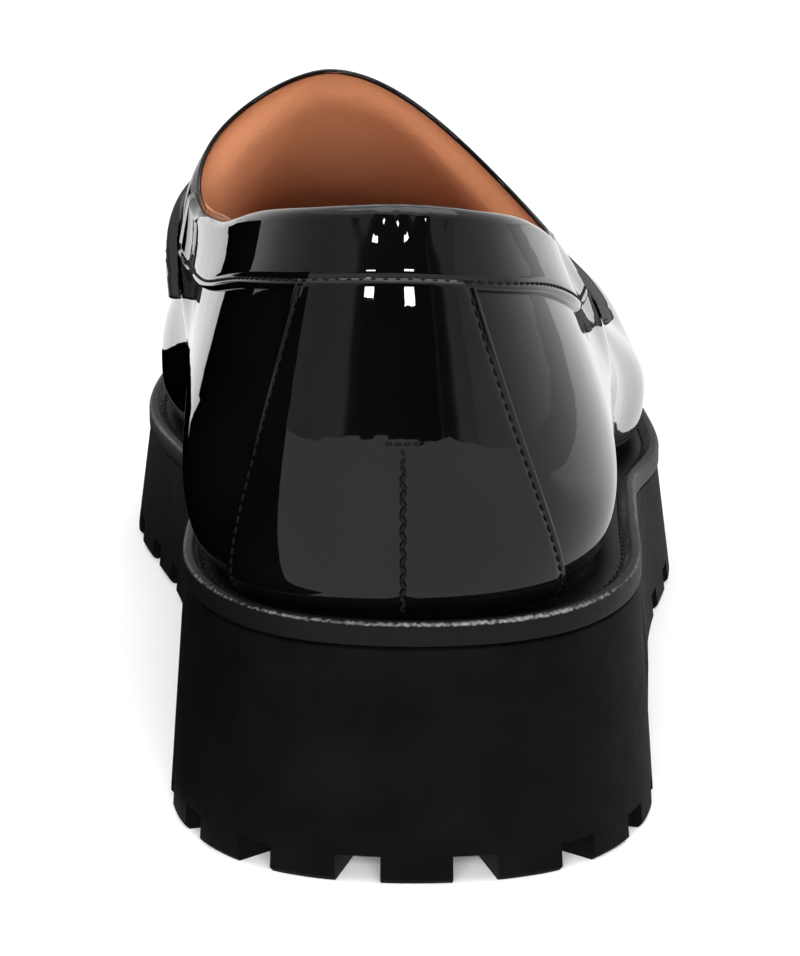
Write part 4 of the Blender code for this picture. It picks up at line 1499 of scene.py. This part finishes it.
def insole_grids():
    """The sock's top and bottom as rungs between its two edges."""
    r = np.linspace(0, 1, SOCK_RUNGS)[:, None]
    across = crowded(SOCK_COLUMNS)[None, :, None]
    left, right = INSOLE_EDGE[INNER](r[:, 0]), INSOLE_EDGE[OUTER](r[:, 0])
    plan = left[:, None] + (right - left)[:, None] * across
    side = np.abs(2 * across[..., 0] - 1)
    cup = HEEL_CUP * smooth_step(*CUP_FADE, plan[..., 1]) * side**3
    edge = distance_to(
        np.concatenate([plan, np.zeros(plan.shape[:2] + (1,))], axis=2),
        np.concatenate([np.concatenate([left, right[::-1]]), np.zeros((2 * len(left), 1))], axis=1),
    )
    floor = sole_top(plan[..., 1]) + SEAT_GAP
    top = floor + cup + INSOLE_THICKNESS * (0.5 + 0.5 * rounded(edge, SOCK_ROUND))
    return [np.concatenate([plan, z[..., None]], axis=2) for z in (floor, top)]


bottom, top = insole_grids()
rim = [np.stack([bottom[:, k], top[:, k]]) for k in (0, -1)]
sock = add_piece("sock", mesh_of("sock", [bottom, top, *rim], close=True), ["insole"])
sock.data.materials.append(LINING)
report(sock)

# %% [markdown]
# ## Stitches
# A row of stitches is a row of short threads whose ends dive into the leather. One function lays
# them along any line on the shoe, by the line's own normals. Geometry Nodes could scatter them too,
# but a loop in code keeps pitch, length and slant in plain sight. The thread itself is a little
# rough, with a fine grain in its bump.

# %% Make stitches and thread
STITCH_RINGS, STITCH_SIDES = 7, 7
THREAD_TAPER = 0.85
THREAD_BOW, THREAD_DIVE = 0.5, 1.3
LOOK_AHEAD = 0.2
BLACK_DYE = (0.004, 0.004, 0.0045)
THREAD_ROUGHNESS = 0.6
THREAD_UNEVEN = 0.1


def stitch_row(points, normals, pitch, length, radius, slants=(0.0,)):
    """Grids of the stitches along a line; slants, in radians, turn them across it one after the other."""
    step = np.linalg.norm(np.diff(points, axis=0), axis=1)
    along = np.concatenate([[0], np.cumsum(step)])
    count = int(along[-1] // pitch)
    middle = (np.arange(count) + 0.5) * along[-1] / count

    def at(where, what):
        return np.stack([np.interp(where, along, what[:, k]) for k in range(3)], axis=-1)

    up = unit(at(middle, normals))
    ahead = unit(at(middle + LOOK_AHEAD, points) - at(middle - LOOK_AHEAD, points))
    side = unit(np.cross(ahead, up))
    slant = np.resize(slants, count)[:, None]
    ahead, side = (
        ahead * np.cos(slant) + side * np.sin(slant),
        side * np.cos(slant) - ahead * np.sin(slant),
    )
    share = np.linspace(-1, 1, STITCH_RINGS)[:, None]
    turn = np.linspace(0, 2 * math.pi, STITCH_SIDES + 1)[None, :]
    thick = radius * np.sqrt(1 - THREAD_TAPER * share**4)
    bow = radius * (THREAD_BOW - THREAD_DIVE * share**4)
    forward = np.broadcast_to(share * length / 2, (STITCH_RINGS, STITCH_SIDES + 1))
    lift = bow + thick * np.sin(turn)
    aside = thick * np.cos(turn)
    rings = []
    for i in range(count):
        rings.append(
            at(middle[i], points)
            + ahead[i] * forward[..., None]
            + up[i] * lift[..., None]
            + side[i] * aside[..., None]
        )
    return rings


def thread_finish(name, colour):
    """Twisted thread of one colour."""
    made, tree, shader = new_material(name, THREAD_ROUGHNESS, colour)
    vary_roughness(tree, shader, 900.0, THREAD_ROUGHNESS - THREAD_UNEVEN, THREAD_ROUGHNESS + THREAD_UNEVEN)
    shader.inputs["Specular IOR Level"].default_value = 0.12
    add_bump(tree, shader, noise(tree, 2500.0, 2.0), 0.06)
    return made


def add_stitches(name, rows, finish):
    """One piece from several rows of stitches."""
    made = add_piece(name, mesh_of(name, [grid for row in rows for grid in row], close=True))
    made.data.materials.append(finish)
    print(len(made.data.vertices) // (STITCH_RINGS * STITCH_SIDES), "stitches in", name)
    report(made)


BLACK_THREAD = thread_finish("black_thread", BLACK_DYE)
print("Thread:", BLACK_THREAD.name)

# %% [markdown]
# ## Rows on the panels
# The band, the counter and the strap are sewn down along their folds, in black on black, so the
# rows are seen mostly as a rhythm in the gloss. Each row is a line of addresses on its own panel.
# Lines drawn by hand would miss the channels.

# %% Lines for the rows on the panels
COLLAR_ROW_SHORT = 0.004
COUNTER_ROW = (0.03, 0.97)
SMALL_STEP = 0.002


def on_panel(side, r, t, height):
    """A line on a panel, with its normals."""
    return off_last(side, r, t, height), last_normal(side, r, t)


def joined(halves):
    """One line from an outer half and an inner half that start at the same point."""
    (outer, outer_up), (inner, inner_up) = halves
    return np.concatenate([inner[:0:-1], outer]), np.concatenate([inner_up[:0:-1], outer_up])


def collar_row():
    """The row along the band's lower fold, from strap to strap."""
    halves = []
    for side in (OUTER, INNER):
        r = np.linspace(0, float(r_at(BAND_END)) - COLLAR_ROW_SHORT, 140)
        t_low = t_band(side, r)
        t = []
        for one, low in zip(r, t_low):
            rib = np.linspace(low, t_topline(one), 40)
            length = np.cumsum(np.linalg.norm(np.diff(last(side, one, rib), axis=0), axis=1))
            t.append(np.interp(STITCH_INSET, np.concatenate([[0], length]), rib))
        crown = thinned(PANEL_HEIGHT, SKIVED_HEIGHT[side], last(side, r, t_topline(r))[:, 1])
        halves.append(on_panel(side, r, np.array(t), crown - CHANNEL_DEPTH * crown / PANEL_HEIGHT))
    return joined(halves)


def counter_row(side):
    """The row along one slanting edge of the counter."""
    up = np.linspace(*COUNTER_ROW, 80)
    r, t = counter_addresses(side, 1.0, up)
    width = np.linalg.norm(last(side, r, t) - last(side, r - SMALL_STEP, t), axis=1) / SMALL_STEP
    return on_panel(side, r - STITCH_INSET / width, t, PANEL_HEIGHT - CHANNEL_DEPTH)


def strap_rows():
    """The rows along the strap's back and front edges."""
    rows = []
    for across_from, sign in ((0.0, 1.0), (1.0, -1.0)):
        halves = []
        for side in (OUTER, INNER):
            down = np.linspace(0, STRAP_SEAM, 90)
            edge = last(side, *strap_addresses(side, down, across_from))
            other = last(side, *strap_addresses(side, down, 1 - across_from))
            inset = STITCH_INSET / np.linalg.norm(edge - other, axis=1)
            r, t = strap_addresses(side, down, across_from + sign * inset)
            halves.append(on_panel(side, r, t, STRAP_HEIGHT - CHANNEL_DEPTH))
        rows.append(joined(halves))
    return rows


panel_lines = [collar_row(), *[counter_row(side) for side in (OUTER, INNER)], *strap_rows()]
print("Rows on the panels:", len(panel_lines))

# %% [markdown]
# ## Sewing the panels, the dart and the apron
# The dart is closed with a coarser zigzag under a short bar, and long stitches cross the apron's
# bead. Every stitch could be an object of its own, but one piece for each kind of row keeps the
# shoe easy to handle.

# %% Sew the panels, the dart and the apron
PANEL_STITCH = {"pitch": 1.8, "length": 1.4, "radius": 0.2}
DART_STITCH = {"pitch": 1.25, "length": 1.5, "radius": 0.36, "slants": (-0.45, 0.45)}
BAR_STITCH = {"pitch": 1.3, "length": 1.2, "radius": 0.28}
APRON_STITCH = {"pitch": 4.6, "length": 3.4, "radius": 0.42, "slants": (math.pi / 2,)}
DART_ROW = (HEEL_HEIGHT + WELT_THICKNESS + 1.0, DART_TOP - 0.6)
DART_THREAD_SUNK = 0.35
BAR_REACH = 0.012


def dart_rows():
    """The dart's zigzag closing stitches and the bar across its top."""
    z = np.linspace(*DART_ROW, 40)
    t = t_at_height(OUTER, np.zeros(len(z)), z)
    line = on_panel(OUTER, np.zeros(len(z)), t, PANEL_HEIGHT - DART_THREAD_SUNK)
    bar_r = np.linspace(0, BAR_REACH, 12)
    bar = []
    for side in (OUTER, INNER):
        bar_t = t_at_height(side, bar_r, DART_TOP)
        bar.append(on_panel(side, bar_r, bar_t, PANEL_HEIGHT))
    return line, joined(bar)


dart_line, bar_line = dart_rows()
add_stitches(
    "panel_stitches",
    [
        *[stitch_row(*line, **PANEL_STITCH) for line in panel_lines],
        stitch_row(*dart_line, **DART_STITCH),
        stitch_row(*bar_line, **BAR_STITCH),
    ],
    BLACK_THREAD,
)
add_stitches(
    "apron_stitches",
    [stitch_row(bead_points + bead_normals * BEAD_RADIUS, bead_normals, **APRON_STITCH)],
    BLACK_THREAD,
)

# %% [markdown]
# ## Welt stitches
# The welt's own row is heavier, a waxed grey thread that lies in a groove beside the upper. Its
# line is the sole's outline, moved in, so it needs no addresses on the last.

# %% Sew the welt
WELT_STITCH = {"pitch": 2.8, "length": 2.2, "radius": 0.25}
WELT_STITCH_INSET = 3.0
WELT_GROOVE = 0.35
GREY_DYE = (0.005, 0.005, 0.005)


def welt_row():
    """The line of the welt's stitches, with normals that point straight up."""
    plan = inset_loop(np.full(len(SOLE_LOOP), WELT_STITCH_INSET))[::10]
    plan = np.concatenate([plan, plan[:1]])
    z = sole_top(plan[:, 1]) + WELT_THICKNESS - WELT_GROOVE
    line = np.concatenate([plan, z[:, None]], axis=1)
    return line, np.tile((0.0, 0.0, 1.0), (len(line), 1))


GREY_THREAD = thread_finish("grey_thread", GREY_DYE)
add_stitches("welt_stitches", [stitch_row(*welt_row(), **WELT_STITCH)], GREY_THREAD)

# %% [markdown]
# ## Floor and room
# Patent leather shows its surroundings more than itself, so the room matters as much as the
# material. The shoe stands on white paper in a white room. A picture of a studio could light it,
# but plain surfaces keep every reflection under control.

# %% White floor and white room
FLOOR_REACH = 9.0
PAPER_WHITE = (0.9, 0.9, 0.9)
ROOM_BRIGHTNESS = 0.95
scene = bpy.context.scene
scene.view_settings.view_transform = "Standard"


def add_stage(name, corners, faces, material):
    """A surface of the studio."""
    mesh = bpy.data.meshes.new(name)
    mesh.from_pydata(corners, [], faces)
    mesh.materials.append(material)
    made = bpy.data.objects.new(name, mesh)
    scene.collection.objects.link(made)
    return made


def level_sheet(name, low, high, height, material):
    """A level rectangle between two opposite corners."""
    rim = (low, (high[0], low[1]), high, (low[0], high[1]))
    return add_stage(name, [(*corner, height) for corner in rim], [(0, 1, 2, 3)], material)


def floor_paper():
    """Matt white paper."""
    made, tree, shader = new_material("floor_paper", 0.8, PAPER_WHITE)
    vary_roughness(tree, shader, 8.0, 0.75, 0.85)
    shader.inputs["Specular IOR Level"].default_value = 0.1
    return made


world = bpy.data.worlds.new("white_room")
world.use_nodes = True
room = world.node_tree.nodes["Background"]
room.inputs["Color"].default_value = (1.0, 1.0, 1.0, 1.0)
room.inputs["Strength"].default_value = ROOM_BRIGHTNESS
scene.world = world
floor = level_sheet("floor", (-FLOOR_REACH, -FLOOR_REACH), (FLOOR_REACH, FLOOR_REACH), 0.0, floor_paper())
print("Floor:", round(floor.dimensions.x, 1), "m wide")

# %% [markdown]
# ## Backdrop
# The large pale and dark areas in the gloss come from a wall that bends round the camera's side of
# the shoe. Its brightness changes with the angle: black straight behind the camera, grey to both
# sides and white at its ends. A low strip under it carries the floor on to the horizon. Separate
# cards could do this, but would leave gaps. Both walls are seen in reflections only, so they take
# no light away from the shoe.

# %% Backdrop with a brightness for each angle
BACKDROP_RADIUS = 2.4
BACKDROP_TOP = 2.6
BACKDROP_HALF_ANGLE = 150.0
BACKDROP_PANELS = 60
HORIZON = 0.17
FLOOR_GLOW = 0.72
BACKDROP = (
    (-150.0, 1.0),
    (-100.0, 0.6),
    (-50.0, 0.35),
    (-26.0, 0.38),
    (-23.5, 0.04),
    (-18.0, 0.0),
    (16.0, 0.0),
    (17.0, 0.1),
    (18.5, 0.01),
    (23.5, 0.05),
    (26.0, 0.42),
    (34.0, 0.36),
    (36.0, 0.5),
    (70.0, 0.66),
    (100.0, 0.9),
    (150.0, 1.0),
)
FAR_FLOOR = ((-BACKDROP_HALF_ANGLE, FLOOR_GLOW), (BACKDROP_HALF_ANGLE, FLOOR_GLOW))


def reflection_only(obj):
    """Hides a surface from everything but reflections."""
    obj.visible_camera = False
    obj.visible_diffuse = False
    obj.visible_shadow = False


def glowing(name, strength=0.0):
    """A black surface with its own even glow."""
    made, tree, shader = new_material(name, 1.0, (0.0, 0.0, 0.0))
    shader.inputs["Specular IOR Level"].default_value = 0.0
    shader.inputs["Emission Color"].default_value = (1.0, 1.0, 1.0, 1.0)
    shader.inputs["Emission Strength"].default_value = strength
    return made, tree, shader


def curved_wall(name, heights, brightness):
    """A wall that bends round the camera's side of the shoe, with a brightness for each of its angles."""
    material, tree, shader = glowing(name, 1.0)
    place = tree.nodes.new("ShaderNodeTexCoord")
    angle = tree.nodes.new("ShaderNodeTexGradient")
    angle.gradient_type = "RADIAL"
    tree.links.new(place.outputs["Object"], angle.inputs["Vector"])
    stops = [(0.5 + degrees / 360, (bright,) * 3) for degrees, bright in brightness]
    glow = blend_colours(tree, angle.outputs["Fac"], stops)
    tree.links.new(glow, shader.inputs["Emission Color"])
    turn = np.radians(np.linspace(-BACKDROP_HALF_ANGLE, BACKDROP_HALF_ANGLE, BACKDROP_PANELS + 1))
    rim = [(BACKDROP_RADIUS * math.cos(a), BACKDROP_RADIUS * math.sin(a)) for a in turn]
    corners = [(x, y, z) for x, y in rim for z in heights]
    faces = [(2 * i, 2 * i + 2, 2 * i + 3, 2 * i + 1) for i in range(BACKDROP_PANELS)]
    made = add_stage(name, corners, faces, material)
    made.rotation_euler.z = -math.pi / 2
    reflection_only(made)


curved_wall("backdrop", (HORIZON, BACKDROP_TOP), BACKDROP)
curved_wall("far_floor", (0.0, HORIZON), FAR_FLOOR)
print("Backdrop:", len(BACKDROP), "stops over", 2 * BACKDROP_HALF_ANGLE, "degrees")

# %% [markdown]
# ## Sheets and cards for the reflections
# Low on the shoe the gloss mirrors the floor and what stands beside it. A grey sheet just over the
# paper glows more towards the toe, a black sheet on the inner side is painted shade, standing for the
# shaded floor there, and black cards stand beside the shoe and further off, each a chain of upright
# panels. The dark areas could be painted on the leather, but they would not move with the view as
# reflections do.

# %% Floor sheets and side cards
FLOOR_FRONT_GLOW = 1.12
FLOOR_FRONT = (-0.05, 0.25)
GREY_SHEET_HEIGHT = 0.0004
SHADE_SHEET_HEIGHT = 0.0008
SHADE_SHEET = ((-0.125, -0.16), (-0.038, 0.222))
NEAR_CARD = (
    (-0.060, -0.150, 0.100),
    (-0.072, -0.070, 0.085),
    (-0.080, 0.000, 0.050),
    (-0.085, 0.060, 0.030),
)
FAR_CARD = ((-0.190, 0.290, 0.070), (-0.350, 0.360, 0.080), (-0.650, 0.450, 0.110))


def floor_glow():
    """A glow that grows from the heel's end of the floor towards the toe's end."""
    made, tree, shader = glowing("grey_floor")
    place = tree.nodes.new("ShaderNodeTexCoord")
    parts = tree.nodes.new("ShaderNodeSeparateXYZ")
    tree.links.new(place.outputs["Object"], parts.inputs["Vector"])
    glow = span(tree, parts.outputs["Y"], FLOOR_GLOW, FLOOR_FRONT_GLOW)
    for name, y in zip(("From Min", "From Max"), FLOOR_FRONT):
        glow.node.inputs[name].default_value = y
    glow.node.interpolation_type = "SMOOTHSTEP"
    tree.links.new(glow, shader.inputs["Emission Strength"])
    return made


def card_chain(tops, material):
    """Upright cards from the floor to a chain of top corners."""
    for start, end in zip(tops, tops[1:]):
        corners = [(*start[:2], 0.0), (*end[:2], 0.0), end, start]
        reflection_only(add_stage("side_card", corners, [(0, 1, 2, 3)], material))


sheet_reach = (BACKDROP_RADIUS, BACKDROP_RADIUS)
sheet_start = (-BACKDROP_RADIUS, -BACKDROP_RADIUS)
reflection_only(level_sheet("grey_floor", sheet_start, sheet_reach, GREY_SHEET_HEIGHT, floor_glow()))
# A black sheet seen only in gloss: painted shade of the floor on the inner side.
reflection_only(level_sheet("painted_shade_floor", *SHADE_SHEET, SHADE_SHEET_HEIGHT, glowing("painted_shade_floor")[0]))
card_black = glowing("side_card")[0]
card_chain(NEAR_CARD, card_black)
card_chain(FAR_CARD, card_black)
print("Side cards:", len(NEAR_CARD) + len(FAR_CARD) - 2)

# %% [markdown]
# ## Lights
# Two small soft boxes, behind the camera and above it, make the bright window marks near the
# collar. A large one overhead lights the shoe from above. A fill opens up the rubber and the
# lining, and is hidden from gloss, so it leaves no mark on the leather. Point lamps could be used,
# but their marks would be round dots.

# %% Soft boxes
HEEL_TOP = Vector((0.0, -0.127, 0.088))
WINDOWS = (("window_left", -17.6), ("window_right", 3.6))
WINDOW_DISTANCE = 2.0
WINDOW_DEGREES_UP = 12.5
WINDOW_SIZE = (0.19, 0.045)
WINDOW_RADIANCE = 40.0
OVERHEAD = {"place": (0.2, 0.1, 2.2), "target": (0.0, 0.0, 0.0), "size": (1.8, 1.8), "radiance": 1.5}
FILL = {"place": (0.0, -2.0, 0.6), "target": (0.0, 0.0, 0.09), "size": (1.2, 0.6), "radiance": 34.0}


def soft_box(name, place, target, size, radiance):
    """A rectangular lamp of a given brightness, aimed at a point."""
    lamp = bpy.data.lights.new(name, "AREA")
    lamp.shape = "RECTANGLE"
    lamp.size, lamp.size_y = size
    lamp.energy = radiance * math.pi * size[0] * size[1]
    made = bpy.data.objects.new(name, lamp)
    made.location = place
    made.rotation_mode = "QUATERNION"
    made.rotation_quaternion = (Vector(target) - Vector(place)).to_track_quat("-Z", "Y")
    scene.collection.objects.link(made)
    return made


for name, degrees in WINDOWS:
    out = math.radians(degrees)
    reach = Vector((math.sin(out), -math.cos(out), math.tan(math.radians(WINDOW_DEGREES_UP))))
    soft_box(name, HEEL_TOP + WINDOW_DISTANCE * reach, HEEL_TOP, WINDOW_SIZE, WINDOW_RADIANCE)
soft_box("overhead", **OVERHEAD)
fill = soft_box("fill", **FILL)
fill.visible_glossy = False

# %% [markdown]
# ## Camera
# The shoe is seen from straight behind, a little above the collar, and from close by, so the heel
# looks much larger than the toe. The lens follows from the photograph's focal length in pixels,
# zoomed in until the shoe fills the frame. A longer lens from further off would flatten the shoe.

# %% Camera
CAMERA_PLACE = Vector((0.0, -0.8364, 0.240))
CAMERA_AIM = Vector((0.0, -0.1, 0.053))
PHOTO_FOCAL_PIXELS = 2608.0
IMAGE_LONG_SIDE = 956.0
ZOOM = 1.9

camera = bpy.data.objects.new("camera", bpy.data.cameras.new("camera"))
camera.location = CAMERA_PLACE
camera.rotation_mode = "QUATERNION"
camera.rotation_quaternion = (CAMERA_AIM - CAMERA_PLACE).to_track_quat("-Z", "Y")
camera.data.sensor_width = 36.0
camera.data.lens = camera.data.sensor_width * PHOTO_FOCAL_PIXELS * ZOOM / IMAGE_LONG_SIDE
scene.collection.objects.link(camera)
scene.camera = camera
print("Lens:", round(camera.data.lens, 1), "mm")
